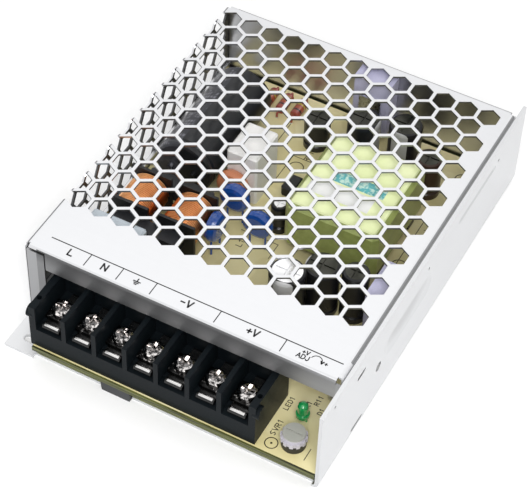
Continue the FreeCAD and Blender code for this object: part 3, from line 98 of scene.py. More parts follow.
# %% [markdown]
# Shader maths reads best as plain Python. A Value holds one output socket, and its
# operators add Math nodes, so that `1 - mask * 0.5` is all that a mask needs. A Finish
# is one material: it has one method for every other kind of node.

# %% Values and finishes
class Value:
    """One output of a node tree, with the operators that the finishes use."""

    def __init__(self, finish, socket):
        self.finish = finish
        self.socket = socket

    def maths(self, operation, first, second=None):
        inputs = {0: first}
        if second is not None:
            inputs[1] = second
        return self.finish.node("Math", {"operation": operation}, inputs)

    def __add__(self, other):
        return self.maths("ADD", self, other)

    def __radd__(self, other):
        return self.maths("ADD", other, self)

    def __sub__(self, other):
        return self.maths("SUBTRACT", self, other)

    def __rsub__(self, other):
        return self.maths("SUBTRACT", other, self)

    def __mul__(self, other):
        return self.maths("MULTIPLY", self, other)

    def __rmul__(self, other):
        return self.maths("MULTIPLY", other, self)

    def __truediv__(self, other):
        return self.maths("DIVIDE", self, other)

    def __gt__(self, other):
        return self.maths("GREATER_THAN", self, other)

    def __lt__(self, other):
        return self.maths("LESS_THAN", self, other)

    def root(self):
        return self.maths("SQRT", self)

    def wave(self):
        return self.maths("SINE", self)

    def size(self):
        return self.maths("ABSOLUTE", self)

    def fraction(self):
        return self.maths("FRACT", self)


class Finish:
    """One material, made node by node."""

    def __init__(self, name, **plain):
        self.material = bpy.data.materials.new(name)
        self.material.use_nodes = True
        self.tree = self.material.node_tree
        self.shader = self.tree.nodes["Principled BSDF"]
        for key, value in plain.items():
            self.shader.inputs[key.replace("_", " ")].default_value = value

    def join(self, value, socket):
        if isinstance(value, Value):
            self.tree.links.new(value.socket, socket)
        else:
            socket.default_value = value

    def node(self, kind, settings=None, inputs=None, output=0):
        """Add a node of a kind: its settings first, then its sockets' values."""
        node = self.tree.nodes.new("ShaderNode" + kind)
        for key, value in (settings or {}).items():
            setattr(node, key, value)
        for key, value in (inputs or {}).items():
            self.join(value, node.inputs[key])
        return Value(self, node.outputs[output])

    def place(self):
        """Where on the piece a point is, in metres."""
        return self.node("TexCoord", output=3)

    def axes(self, point=None):
        """The three coordinates of a point."""
        split = self.tree.nodes.new("ShaderNodeSeparateXYZ")
        self.join(point or self.place(), split.inputs[0])
        return [Value(self, output) for output in split.outputs]

    def noise(self, scale, detail=3.0, rough=0.5, point=None):
        """Cloudy noise; the scale is in spots for each metre."""
        return self.node("TexNoise", inputs={
            "Vector": point or self.place(), "Scale": scale, "Detail": detail,
            "Roughness": rough})

    def stretched(self, x, y, z):
        """The place, with each axis multiplied, for brushed or drawn patterns."""
        return self.node("VectorMath", {"operation": "MULTIPLY"},
                         {0: self.place(), 1: (x, y, z)})

    def between(self, value, low, high, start=0.0, end=1.0):
        """Take a value from start to end as it goes from low to high."""
        return self.node("MapRange", {"clamp": True}, {
            0: value, 1: low, 2: high, 3: start, 4: end})

    def mix(self, factor, first, second):
        """Mix two colours."""
        return self.node("Mix", {"data_type": "RGBA"}, {
            0: factor, 6: solid(first), 7: solid(second)}, output=2)

    def colour(self, value):
        self.join(solid(value), self.shader.inputs["Base Color"])

    def rough(self, value):
        self.join(value, self.shader.inputs["Roughness"])

    def bump(self, height, depth, strength=1.0):
        """Bump the surface by a height, its depth in metres."""
        normal = self.node("Bump", inputs={
            "Height": height, "Distance": depth, "Strength": strength})
        self.join(normal, self.shader.inputs["Normal"])


def solid(colour):
    """A colour with its alpha, or a link left as it is."""
    if isinstance(colour, Value) or len(colour) == 4:
        return colour
    return (*colour, 1.0)


# %% [markdown]
# The case is bare rolled sheet, so it is metallic, and its top mirrors the white room.
# Rolled sheet is never one even tone. It has broad clouds from handling and a fine grain
# from the rolls, and its roughness drifts with both, so both are noise, drawn out along
# one axis. The room of the picture is darker than this one in front of the case and
# under its mesh. So some zones are toned down: the front lip, the left lip, the
# rear strip of the plate, the inside of the left side and the walls of the mesh holes.
# These toned zones are painted shade, and a faint painted shade lies over the dimple and
# crease of the right wall. The cover's right edge is pale in the picture, so there the
# sheet is less metallic.

# %% Sheet metal
CASE_LEFT, CASE_FRONT = cad_box[0][0], cad_box[0][1]
COVER_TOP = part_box("cover")[1][2]
GRAIN_ACROSS, GRAIN_ALONG = 700.0, 40.0
SATIN_SHARE = 0.8
SATIN_WIDTH = 1.4
# The darkest tone of the painted shade, as a share of the sheet's tone.
SHADE_TONE = 0.15
# How strong the painted shade is on each zone of the case and the cover.
LIP_SHADE, INNER_SHADE, HOLE_SHADE, CORNER_SHADE = 0.75, 0.9, 0.75, 0.55
STRIP_SHADE, STRIP_FADE = 0.9, (4, 15)
# Where the faint painted shade over the wall's dimple and crease lies.
DIMPLE_MIDDLE, DIMPLE_REACH = (51, 17.8), (14.5, 4.0)
GROOVE_HEIGHT, GROOVE_ENDS = 23.9, (84, 107)
SKIN, SHEET_INSIDE = 0.04, 0.56


def from_left(x):
    """Millimetres from the left side of the case, as a place in metres."""
    return CASE_LEFT + x * MM


def from_front(y):
    """Millimetres from the front edge of the case, as a place in metres."""
    return CASE_FRONT + y * MM


def sheet_metal(name, tone, roughness, grain_axis, shading, satin=None):
    """Rolled sheet; shading gives a point's painted shade, and satin where satin starts."""
    finish = Finish(name, Metallic=1.0)
    if satin is not None:
        x = finish.axes()[0]
        finish.join(1 - (x > satin) * SATIN_SHARE, finish.shader.inputs["Metallic"])
    clouds = finish.noise(26, detail=4)
    spangle = finish.noise(420, detail=2)
    stretch = [GRAIN_ACROSS] * 3
    stretch[grain_axis] = GRAIN_ALONG
    grain = finish.noise(1.0, detail=3, point=finish.stretched(*stretch))
    shade = (clouds - 0.5) * 0.10 + (spangle - 0.5) * 0.04 + (grain - 0.5) * 0.06
    low = tuple(value * 0.93 for value in tone)
    high = tuple(min(1.0, value * 1.04) for value in tone)
    sheet = finish.mix(finish.between(shade, -0.08, 0.08), low, high)
    painted_shade = shading(finish)
    # Mix towards a dark copy of the tone: painted shade, as strong as shading gives.
    finish.colour(finish.mix(painted_shade, sheet, tuple(value * SHADE_TONE for value in tone)))
    finish.rough(roughness + shade * 0.8 + painted_shade * 0.2)
    finish.bump(grain * 0.6 + spangle * 0.4, 0.00003, 0.35)
    return finish.material


def moulding(name, tone, roughness, spread=0.12, grain=0.00002, coat=0.0, shine=0.5):
    """Moulded plastic: a fine spark-eroded grain and a little cloudiness."""
    finish = Finish(name, Coat_Weight=coat, Specular_IOR_Level=shine)
    clouds = finish.noise(90, detail=3)
    texture = finish.noise(3200, detail=2)
    shade = clouds * 0.6 + texture * 0.4
    low = tuple(value * (1 - spread) for value in tone)
    high = tuple(min(1.0, value * (1 + spread)) for value in tone)
    finish.colour(finish.mix(finish.between(shade, 0.3, 0.7), low, high))
    finish.rough(finish.between(clouds, 0.3, 0.7, roughness - 0.05, roughness + 0.06))
    finish.bump(texture, grain, 0.5)
    return finish.material


def plated(name, tone, roughness, uneven=0.4, dark=0.72):
    """Plated metal: fine handling marks and an uneven surface; a low dark makes them painted
    reflection.
    """
    finish = Finish(name, Metallic=1.0)
    marks = finish.noise(900, detail=5, rough=0.7)
    spots = finish.noise(1400, detail=2)
    low = tuple(value * dark for value in tone)
    finish.colour(finish.mix(finish.between(marks, 0.42, 0.56), low, tone))
    finish.rough(finish.between(marks, 0.3, 0.7, roughness * 0.7, roughness * 1.4))
    finish.bump(spots, 0.00006, uneven)
    return finish.material


def copper_wire():
    """Enamelled wire is smooth: a little darker where the heat has been."""
    finish = Finish("enamelled_copper", Metallic=1.0)
    heat = finish.noise(110, detail=2)
    finish.colour(finish.mix(finish.between(heat, 0.35, 0.65),
                             (0.66, 0.27, 0.10), (0.86, 0.45, 0.20)))
    finish.rough(0.24 + heat * 0.1)
    return finish.material


def case_painted_shade(finish):
    """Painted shade: the left lip, the plate's rear strip, and faintly dimple and crease."""
    x, y, z = finish.axes()
    lip = (x < from_left(12)) * (z > 2 * MM) * (y < from_front(20))
    wall = x > from_left(96)
    # A soft painted shade over the dimple, and a thin one along the crease.
    lengthwise = (y - from_front(DIMPLE_MIDDLE[0])) / (DIMPLE_REACH[0] * MM)
    upwards = (z - DIMPLE_MIDDLE[1] * MM) / (DIMPLE_REACH[1] * MM)
    away = lengthwise * lengthwise + upwards * upwards
    dimple = finish.between(away, 0.1, 1.0, 0.20, 0.0)
    off_groove = (z - GROOVE_HEIGHT * MM).size()
    groove = finish.between(off_groove, 0.3 * MM, 1.2 * MM, 0.24, 0.0)
    groove = groove * (y > from_front(GROOVE_ENDS[0])) * (y < from_front(GROOVE_ENDS[1]))
    strip = (y > from_front(124)) * (x < from_left(95.5))
    faded = finish.between(z, STRIP_FADE[0] * MM, STRIP_FADE[1] * MM, STRIP_SHADE, 0.0)
    return lip * LIP_SHADE + wall * (dimple + groove) + strip * faded


def cover_painted_shade(finish):
    """Painted shade on the walls of the holes, the front lip and corner, and the inside of the
    left.
    """
    x, y, z = finish.axes()
    top_holes = (z < COVER_TOP - SKIN * MM) * (z > COVER_TOP - SHEET_INSIDE * MM)
    top_holes = top_holes * (y > from_front(20)) * (x > from_left(4))
    side_holes = (x > from_left(SKIN)) * (x < from_left(SHEET_INSIDE))
    side_holes = side_holes * (z < COVER_TOP - 2.5 * MM) * (y > from_front(22))
    lip = (y < from_front(14.2)) * (z < COVER_TOP - 0.3 * MM)
    lip = lip * (x > from_left(4)) * (x < from_left(96.5))
    # The lip's painted shade eases towards its right end and changes with height.
    paler_end = finish.between(x, from_left(74), from_left(95), 0.90, 0.62)
    upper = finish.between(z, COVER_TOP - 5.0 * MM, COVER_TOP - 1.0 * MM, 0.85, 1.05)
    inner = (x > from_left(SHEET_INSIDE)) * (x < from_left(0.9))
    corner = (x < from_left(4)) * (x > from_left(0.05))
    corner = corner * (y < from_front(14.4)) * (z < COVER_TOP - 0.6 * MM)
    return (top_holes * HOLE_SHADE + side_holes + lip * paler_end * upper
            + inner * INNER_SHADE + corner * CORNER_SHADE)


case_metal = sheet_metal("case_sheet", (0.67, 0.675, 0.685), 0.34, 1, case_painted_shade)
cover_metal = sheet_metal("cover_sheet", (0.71, 0.715, 0.73), 0.30, 0, cover_painted_shade,
                          satin=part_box("cover")[1][0] - SATIN_WIDTH * MM)
print("sheet finishes:", case_metal.name, cover_metal.name)


# %% [markdown]
# Mouldings, plated metal and dipped parts each get a finish of their own. Black
# plastic is never pure black: the terminal block is a dark slate with a soft gloss.

# %% Finishes of the pieces
finishes = {
    "block_black": moulding("block_moulding", (0.0060, 0.0085, 0.0105), 0.36, 0.25, shine=0.08),
    "grey_moulding": moulding("pad_moulding", (0.056, 0.058, 0.061), 0.5, 0.3, shine=0.2),
    "drum_black": moulding("drum_moulding", (0.012, 0.012, 0.012), 0.45, 0.2),
    "bobbin_black": moulding("bobbin_moulding", (0.008, 0.008, 0.009), 0.4, 0.2),
    "box_grey": moulding("box_case", (0.93, 0.92, 0.90), 0.40, 0.05),
    "epoxy_black": moulding("moulded_epoxy", (0.010, 0.011, 0.013), 0.45, 0.2),
    "cap_lavender": moulding("silicone_cap", (0.52, 0.51, 0.68), 0.55),
    "ferrite": moulding("ferrite", (0.014, 0.015, 0.018), 0.45, 0.35),
    "disc_blue": moulding("blue_dip", (0.010, 0.075, 0.36), 0.22, 0.15, coat=0.7),
    "disc_brown": moulding("brown_dip", (0.62, 0.22, 0.10), 0.3, 0.2, coat=0.5),
    "disc_dark": moulding("dark_dip", (0.012, 0.02, 0.016), 0.35, 0.2, coat=0.3),
    "led_green": moulding("light_lens", (0.012, 0.32, 0.085), 0.12, 0.15, coat=1.0),
    "film": moulding("insulation_film", (0.30, 0.32, 0.11), 0.3),
    # The screws' marks go down to near black: a painted dark reflection.
    "screw_metal": plated("nickel_plate", (0.92, 0.88, 0.86), 0.10, 1.0, dark=0.04),
    "steel": plated("zinc_plate", (0.72, 0.73, 0.75), 0.28),
    "copper": copper_wire(),
    "case_metal": case_metal,
}
print("plain finishes:", len(finishes))


# %% [markdown]
# The board is a cream laminate. Its cut edge shows its layers in an olive darkened nearly
# to black, a painted shade, as the edge lies in shade: a step in height and one at the
# front tell edge and top apart. Copper tracks under the lacquer show as slightly darker
# fields. The tape's sides are a darker olive than its top, a painted shade down the
# sides, where less light falls.

# %% Board and tape
BOARD_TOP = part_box("circuit_board")[1][2]
BOARD_SKIN = 0.05
BOARD_FRONT_EDGE = 0.55
TAPE_FOLD = 0.35


def board_finish():
    finish = Finish("board_laminate")
    _, y, z = finish.axes()
    clouds = finish.noise(55, detail=3)
    tracks = finish.noise(85, detail=1, rough=0.2)
    under = finish.between(tracks, 0.50, 0.53)
    cream = finish.mix(finish.between(clouds, 0.35, 0.65),
                       (0.80, 0.71, 0.36), (0.88, 0.80, 0.47))
    face = finish.mix(under * 0.35, cream, (0.66, 0.57, 0.26))
    layers = finish.noise(1.0, detail=2, point=finish.stretched(60, 60, 4500))
    # The cut edge: the laminate's layers, darkened by painted shade.
    edge_shade = finish.mix(finish.between(layers, 0.4, 0.6), (0.022, 0.025, 0.004),
                     (0.13, 0.14, 0.035))
    edge = (z < BOARD_TOP - BOARD_SKIN * MM) + (y < from_front(BOARD_FRONT_EDGE))
    finish.colour(finish.mix(edge, face, edge_shade))
    finish.rough(0.38 + clouds * 0.15)
    finish.bump(under, 0.00005, 0.4)
    return finish.material


def tape_finish():
    finish = Finish("polyester_tape", Coat_Weight=0.4)
    clouds = finish.noise(80, detail=3)
    wrinkles = finish.noise(1.0, detail=3, point=finish.stretched(500, 90, 500))
    z = finish.axes()[2]
    top = finish.mix(finish.between(clouds, 0.35, 0.65),
                     (0.78, 0.86, 0.44), (0.86, 0.92, 0.54))
    # The sides: a darker olive, painted shade.
    side = finish.mix(wrinkles, (0.24, 0.29, 0.07), (0.42, 0.48, 0.16))
    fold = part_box("transformer_tape")[1][2] - TAPE_FOLD * MM
    finish.colour(finish.mix(z < fold, top, side))
    finish.rough(0.26 + wrinkles * 0.15)
    finish.bump(wrinkles, 0.00012, 0.5)
    return finish.material


finishes["board"] = board_finish()
finishes["tape_yellow"] = tape_finish()


# %% [markdown]
# A capacitor is a bare aluminium can in a shrink sleeve. The sleeve folds over the rim,
# so only the middle of the top is bare, and a pale stripe down it marks the minus side.
# Both are found from the distance to the can's axis, so one function serves every can.
# The resistors, clamps, plates and knob have patterns of their own. In the picture the
# clamps and most of each plate mirror a dark room, so here their tone is nearly black, a
# painted reflection, and their few bright parts are painted highlights. The cans that
# stand in shade there have a top painted dark, a painted shade, for the same reason.

# %% Capacitor sleeves and other patterns
SLEEVE_FOLD, SLEEVE_RIM = 1.1, 0.9
STRIPE_REACH = 0.86
# A bare top's own tone, and a dark one for tops in shade: painted shade.
BRIGHT_TOP, SHADE_TOP = (0.88, 0.88, 0.89), (0.07, 0.07, 0.06)
RESISTOR_BANDS = ((0.02, 0.02, 0.02), (0.45, 0.10, 0.02), (0.50, 0.40, 0.05),
                  (0.35, 0.22, 0.06))
FIRST_WAY, WAY_PITCH, WAYS = 14.55, 9.5, 7
# Where the plates' painted highlights lie: across each roll, and back from each tail's start.
ROLL_NEAR, ROLL_FAR, ROLL_HALF = 0.35, 1.45, 0.22
TAIL_START, TAIL_HIGHLIGHT = 11.8, 0.35


def can_finish(name, sleeve, stripe, side, top=BRIGHT_TOP):
    """A sleeved can; side points to its stripe, and top is the bare metal's tone or a painted
    shade.
    """
    low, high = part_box(name)
    radius = (high[0] - low[0]) / 2
    finish = Finish(name + "_finish")
    x, y, z = finish.axes()
    off_x = x - (low[0] + radius)
    off_y = y - (high[1] - radius)
    out = (off_x * off_x + off_y * off_y).root()
    bare = (z > high[2] - SLEEVE_FOLD * MM) * (out < radius - SLEEVE_RIM * MM)
    facing = (off_x * side[0] + off_y * side[1]) > radius * STRIPE_REACH
    wear = finish.noise(400, detail=3)
    cover = finish.mix(facing, sleeve, stripe)
    finish.colour(finish.mix(bare, cover, top))
    finish.join(bare, finish.shader.inputs["Metallic"])
    finish.rough(0.24 + wear * 0.12)
    finish.bump(wear, 0.00004, 0.4)
    return finish.material


def bulk_finish():
    """The large can lies down: its print runs along the upper left of the sleeve."""
    low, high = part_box("bulk_capacitor")
    middle = (low[0] + high[0]) / 2
    finish = Finish("bulk_sleeve")
    x, y, z = finish.axes()
    print_side = x < middle - 1.5 * MM
    waves = ((y * 1900).wave() * ((x + z) * 2300).wave()).size()
    swirl = finish.between(finish.noise(260, detail=2), 0.52, 0.56)
    # Here the same name holds the sleeve's print: grey swirls on black.
    print_and_glints = finish.mix(waves * swirl, (0.030, 0.031, 0.040), (0.22, 0.22, 0.25))
    finish.colour(finish.mix(print_side, (0.010, 0.011, 0.013), print_and_glints))
    finish.rough(0.26 + finish.noise(300) * 0.1)
    return finish.material


def resistor_finish():
    """Four colour bands along the body, measured from its front end."""
    low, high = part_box("resistors")
    finish = Finish("resistor_coat", Coat_Weight=0.4)
    _, y, z = finish.axes()
    reach = (high[1] - low[1]) / 12
    colour = finish.mix((z > BOARD_TOP + 0.4 * MM), (0.6, 0.6, 0.6), (0.36, 0.07, 0.05))
    for number, tone in enumerate(RESISTOR_BANDS):
        centre = low[1] + reach * (4 + number * 1.35)
        band = (y - centre).size() < reach * 0.3
        colour = finish.mix(band, colour, tone)
    finish.colour(colour)
    finish.rough(0.3)
    return finish.material


def clamp_finish():
    """Nickel toned nearly black, a painted dark reflection, with a painted glint or two."""
    finish = Finish("clamp_nickel", Metallic=1.0)
    # A few bright specks: painted glints.
    print_and_glints = finish.between(finish.noise(900, detail=4), 0.60, 0.66)
    finish.colour(finish.mix(print_and_glints, (0.03, 0.03, 0.03), (0.75, 0.72, 0.70)))
    finish.rough(0.22)
    finish.bump(finish.noise(1200, detail=2), 0.00006, 0.6)
    return finish.material


def plate_finish():
    """Painted highlights on each roll and, paler, each tail; near black between, a painted
    reflection.
    """
    finish = Finish("terminal_plate", Metallic=1.0)
    x, y, _ = finish.axes()
    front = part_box("terminal_plates")[0][1]
    # The roll's painted highlight, on the middle of each way.
    roll = (y < front + ROLL_FAR * MM) * (y > front + ROLL_NEAR * MM)
    way = ((x - from_left(FIRST_WAY)) / (WAY_PITCH * MM) + 0.5).fraction() - 0.5
    roll = roll * (way.size() < ROLL_HALF)
    tail_highlight = (y > from_front(TAIL_START)) * TAIL_HIGHLIGHT
    grain = finish.noise(1.0, detail=3, point=finish.stretched(300, 2500, 2500))
    highlight_tone = finish.mix(grain, (0.60, 0.59, 0.58), (0.92, 0.91, 0.90))
    finish.colour(finish.mix(roll + tail_highlight, (0.05, 0.05, 0.05), highlight_tone))
    finish.rough(0.2 + grain * 0.1)
    return finish.material


def knob_finish():
    """The knob has a flat grey disc on top and a paler toothed ring under it."""
    low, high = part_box("trimmer_knob")
    finish = Finish("knob_moulding", Specular_IOR_Level=0.4)
    x, y, z = finish.axes()
    off_x, off_y = x - (low[0] + high[0]) / 2, y - (low[1] + high[1]) / 2
    out = (off_x * off_x + off_y * off_y).root()
    disc = (z > high[2] - 0.35 * MM) * (out < (high[0] - low[0]) * 0.46)
    clouds = finish.noise(350, detail=2)
    top = finish.mix(clouds, (0.34, 0.35, 0.31), (0.42, 0.42, 0.38))
    finish.colour(finish.mix(disc, (0.52, 0.50, 0.55), top))
    finish.rough(0.4)
    return finish.material


line_case = moulding("line_case", (0.62, 0.69, 0.75), 0.4, 0.05)
own_finishes = {
    "cover": cover_metal,
    "trimmer_knob": knob_finish(),
    "line_capacitor": line_case,
    "bulk_capacitor": bulk_finish(),
    "resistors": resistor_finish(),
    "terminal_plates": plate_finish(),
}
clamps = clamp_finish()
for number in range(1, WAYS + 1):
    own_finishes["clamp_washer_%d" % number] = clamps
# Each can: its sleeve, its stripe, where the stripe faces, and its top if painted shade darkens
# it.
SLEEVES = {
    "output_capacitor_1": ((0.010, 0.010, 0.012), (0.55, 0.55, 0.55), (0.2, -1)),
    "output_capacitor_2": ((0.010, 0.010, 0.012), (0.55, 0.55, 0.55), (-1, 0), SHADE_TOP),
    "output_capacitor_3": ((0.010, 0.010, 0.012), (0.55, 0.55, 0.55), (0, 1), SHADE_TOP),
    "rear_capacitor_1": ((0.010, 0.012, 0.020), (0.45, 0.45, 0.45), (1, 0), SHADE_TOP),
    "rear_capacitor_2": ((0.011, 0.010, 0.012), (0.45, 0.45, 0.45), (0, -1), SHADE_TOP),
    "rear_capacitor_3": ((0.035, 0.014, 0.009), (0.5, 0.45, 0.4), (-1, 0), SHADE_TOP),
    "small_capacitor_1": ((0.010, 0.010, 0.011), (0.5, 0.5, 0.5), (-1, 0)),
    "small_capacitor_2": ((0.010, 0.010, 0.012), (0.5, 0.5, 0.5), (0, 1), SHADE_TOP),
}
for name, words in SLEEVES.items():
    own_finishes[name] = can_finish(name, *words)

slot_of = {row["node"]: row["material_slot"] for row in frame["record"]["subparts"]}
for name, thing in nodes.items():
    material = own_finishes.get(name) or finishes[slot_of[name]]
    thing.data.materials.clear()
    thing.data.materials.append(material)
print("finished nodes:", len(nodes), "with their own:", len(own_finishes))


# %% [markdown]
# The turns of the choke are wire, so each winding is one wire wound on: a small circle
# spun around the coil's axis with a step along it, which makes a true helix. The circle
# lies level beside the coil and face down, square to the way the wire sets off. The
# wire takes the place of the smooth cylinder of the model.

# %% Choke windings
WIRE_RADIUS = 0.30 * MM
WIRE_SIDES = 8
TURN_STEPS = 24


def add_piece(name, mesh_maker, material, body="root"):
    """Make an object from a function that fills a bmesh, and let it ride."""
    shape = bmesh.new()
    mesh_maker(shape)
    mesh = bpy.data.meshes.new(name)
    shape.to_mesh(mesh)
    shape.free()
    piece = bpy.data.objects.new(name, mesh)
    bpy.context.scene.collection.objects.link(piece)
    mesh.materials.append(material)
    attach(piece, body)
    return piece


def smooth(piece, angle=40):
    """Smooth faces, with edges kept sharp past an angle."""
    shape = bmesh.new()
    shape.from_mesh(piece.data)
    for face in shape.faces:
        face.smooth = True
    for edge in shape.edges:
        if len(edge.link_faces) == 2 and edge.calc_face_angle() > math.radians(angle):
            edge.smooth = False
    shape.to_mesh(piece.data)
    shape.free()


def wound_wire(name, centre, radius, start, length, turns):
    """A wire wound around Y, from start, over a length."""
    def fill(shape):
        place = Matrix.Translation((centre.x + radius, start, centre.z))
        face_down = Matrix.Rotation(math.pi, 4, "X")
        bmesh.ops.create_circle(shape, cap_ends=False, radius=WIRE_RADIUS,
                                segments=WIRE_SIDES, matrix=place @ face_down)
        steps = int(turns * TURN_STEPS)
        bmesh.ops.spin(shape, geom=shape.edges[:], cent=(centre.x, start, centre.z),
                       axis=(0, 1, 0), dvec=(0, length / steps, 0),
                       angle=math.tau * turns, steps=steps, use_merge=False)
        bmesh.ops.holes_fill(shape, edges=shape.edges[:], sides=WIRE_SIDES)
        bmesh.ops.recalc_face_normals(shape, faces=shape.faces[:])
    return add_piece(name, fill, finishes["copper"])


for number in (1, 2):
    node = "choke_winding_%d" % number
    low, high = (Vector(corner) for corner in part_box(node))
    centre = (low + high) / 2
    outer = (high.x - low.x) / 2
    room = high.y - low.y - WIRE_RADIUS * 2
    wire = wound_wire("choke_wire_%d" % number, centre, outer - WIRE_RADIUS,
                      low.y + WIRE_RADIUS, room, int(room / (WIRE_RADIUS * 2)))
    smooth(wire)
    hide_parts(node)
    print(wire.name, len(wire.data.polygons), "faces")


# %% [markdown]
# The marks of the terminals are printed on the cover: one long line, short lines that
# part the ways, and a few letters. Each is a thin flat stroke laid on the metal. A
# letter is a list of strokes in a box one high, so that one function prints them all.
# Places are in millimetres from the left side and the front edge, as on the drawing.

# %% Printed strokes
PRINT_RISE = 0.02 * MM
LETTERS = {
    "L": [[(0, 1), (0, 0), (0.6, 0)]],
    "N": [[(0, 0), (0, 1), (0.7, 0), (0.7, 1)]],
    "V": [[(0, 1), (0.35, 0), (0.7, 1)]],
    "A": [[(0, 0), (0.35, 1), (0.7, 0)], [(0.14, 0.35), (0.56, 0.35)]],
    "D": [[(0, 0), (0, 1), (0.4, 1), (0.65, 0.75), (0.65, 0.25), (0.4, 0), (0, 0)]],
    "J": [[(0.5, 1), (0.5, 0.2), (0.35, 0), (0.12, 0), (0, 0.2)]],
    "S": [[(0.6, 0.9), (0.3, 1), (0, 0.75), (0.6, 0.3), (0.3, 0), (0, 0.1)]],
    "R": [[(0, 0), (0, 1), (0.6, 0.9), (0.6, 0.55), (0, 0.45)], [(0.3, 0.5), (0.65, 0)]],
    "E": [[(0.6, 1), (0, 1), (0, 0), (0.6, 0)], [(0, 0.5), (0.5, 0.5)]],
    "1": [[(0.1, 0.8), (0.35, 1), (0.35, 0)]],
    "+": [[(0.1, 0.45), (0.7, 0.45)], [(0.4, 0.75), (0.4, 0.15)]],
    "-": [[(0.1, 0.45), (0.6, 0.45)]],
}
LETTER_STEP = 0.95
STRIP_OVERLAP = 0.8


def on_case(x, y):
    """A place in millimetres on the drawing, in metres in the scene."""
    return Vector((from_left(x), from_front(y), 0))


def stroke(shape, points, width, height):
    """Lay flat strips through the points, each a little long so that corners close."""
    for first, last in zip(points, points[1:]):
        line = last - first
        size = Matrix.Diagonal((line.length + width * STRIP_OVERLAP, width, 1, 1))
        turn = Matrix.Rotation(math.atan2(line.y, line.x), 4, "Z")
        middle = (first + last) / 2
        place = Matrix.Translation((middle.x, middle.y, height))
        bmesh.ops.create_grid(shape, x_segments=1, y_segments=1, size=0.5,
                              matrix=place @ turn @ size)


def write(shape, word, start, size, width, height, turn=0.0):
    """Print a word from its lower left corner; size is the height of its letters."""
    spin = Matrix.Rotation(turn, 4, "Z")
    for number, letter in enumerate(word):
        for line in LETTERS[letter]:
            corners = [Vector(((x + LETTER_STEP * number) * size, y * size, 0)) * MM
                       for x, y in line]
            stroke(shape, [start + spin @ corner for corner in corners], width * MM,
                   height)


def arc(centre, radius, first, last, steps=18):
    """Points along an arc, with angles in degrees."""
    turns = [math.radians(first + (last - first) * n / steps) for n in range(steps + 1)]
    return [centre + Vector((math.cos(a), math.sin(a), 0)) * radius * MM for a in turns]


ink = Finish("ink", Roughness=0.6)
ink.colour((0.016, 0.016, 0.017))
print("letters known:", len(LETTERS))


# %% [markdown]
# The print on the cover names the ways: line, neutral, earth, minus and plus, and the
# adjuster with an arrow for its turn. Nothing else is printed on this one.

# %% Marks of the cover
LINE_Y, LINE_LEFT, LINE_RIGHT, LINE_WIDTH = 18.62, 5.5, 93.2, 0.32
TICKS, TICK_FOOT, TICK_WIDTH = (18.03, 28.0, 38.3, 57.66, 77.0), 14.35, 0.28
# Each word: its place, the height of its letters and the width of its strokes.
COVER_WORDS = (("L", (12.2, 15.4), 2.1, 0.48), ("N", (22.6, 15.4), 2.1, 0.48),
               ("-V", (46.6, 15.4), 2.1, 0.48), ("+V", (66.3, 15.4), 2.1, 0.48),
               ("+V", (82.2, 16.7), 1.2, 0.3), ("ADJ", (81.4, 15.0), 1.4, 0.3),
               ("+", (89.0, 15.8), 1.2, 0.3))
EARTH, EARTH_BARS, EARTH_WIDTH = (33.33, 16.3), ((-0.1, 1.0), (0.4, 0.65), (0.9, 0.3)), 0.36
ARROW_CENTRE, ARROW_RADIUS, ARROW_WIDTH = (86.7, 16.2), 1.55, 0.24
ARROW_TIP, ARROW_BARB, BARB_WIDTH = (88.3, 15.9), (0.4, 0.8), 0.4


def fill_marks(shape):
    height = COVER_TOP + PRINT_RISE
    stroke(shape, [on_case(LINE_LEFT, LINE_Y), on_case(LINE_RIGHT, LINE_Y)],
           LINE_WIDTH * MM, height)
    for x in TICKS:
        stroke(shape, [on_case(x, LINE_Y), on_case(x, TICK_FOOT)], TICK_WIDTH * MM, height)
    for word, place, size, width in COVER_WORDS:
        write(shape, word, on_case(*place), size, width, height)
    x, y = EARTH
    stroke(shape, [on_case(x, y + 1.1), on_case(x, y + 0.1)], EARTH_WIDTH * MM, height)
    for drop, half in EARTH_BARS:
        stroke(shape, [on_case(x - half, y - drop), on_case(x + half, y - drop)],
               EARTH_WIDTH * MM, height)
    stroke(shape, arc(on_case(*ARROW_CENTRE), ARROW_RADIUS, 165, 5), ARROW_WIDTH * MM,
           height)
    tip, (out, back) = on_case(*ARROW_TIP), ARROW_BARB
    for side in (-out, out):
        stroke(shape, [tip, tip + Vector((side, back, 0)) * MM], BARB_WIDTH * MM, height)


marks = add_piece("cover_marks", fill_marks, ink.material)
print(marks.name, len(marks.data.polygons), "strips")


# %% [markdown]
# A board carries its own print: rings round the holes, outlines of the parts and short
# names beside them. The picture's can't be read, so these are names and lines such as
# any board has. The strokes lie just above the laminate, in a dark brown.

# %% Marks of the board
silk = Finish("silk_print", Roughness=0.7)
silk.colour((0.035, 0.028, 0.015))
RING_STEPS, RING_WIDTH, OUTLINE_WIDTH, NAME_WIDTH = 28, 0.28, 0.22, 0.24
BOARD_RINGS = ((81.2, 3.7, 1.75), (81.2, 3.7, 0.15), (46, 80, 2.6), (40, 96, 2.2),
               (47.5, 104, 2.0), (45, 90, 1.4), (83.5, 76, 2.2), (86.5, 88, 1.8),
               (66, 50, 2.0), (73, 34, 2.4), (60, 36, 1.8), (85, 116, 2.0))
BOARD_LINES = (((91.2, 3), (91.2, 7)), ((38, 66), (50, 66)),
               ((50, 66), (50, 60)), ((37, 86), (37, 100)), ((37, 100), (50, 100)),
               ((82.5, 66), (82.5, 98)), ((52, 101), (80, 101)), ((54, 60), (76, 60)),
               ((86, 40), (92, 40)), ((84, 70), (93, 70)), ((84, 92), (93, 92)),
               ((30, 96), (30, 112)), ((72, 108), (88, 108)), ((41, 44), (52, 44)))
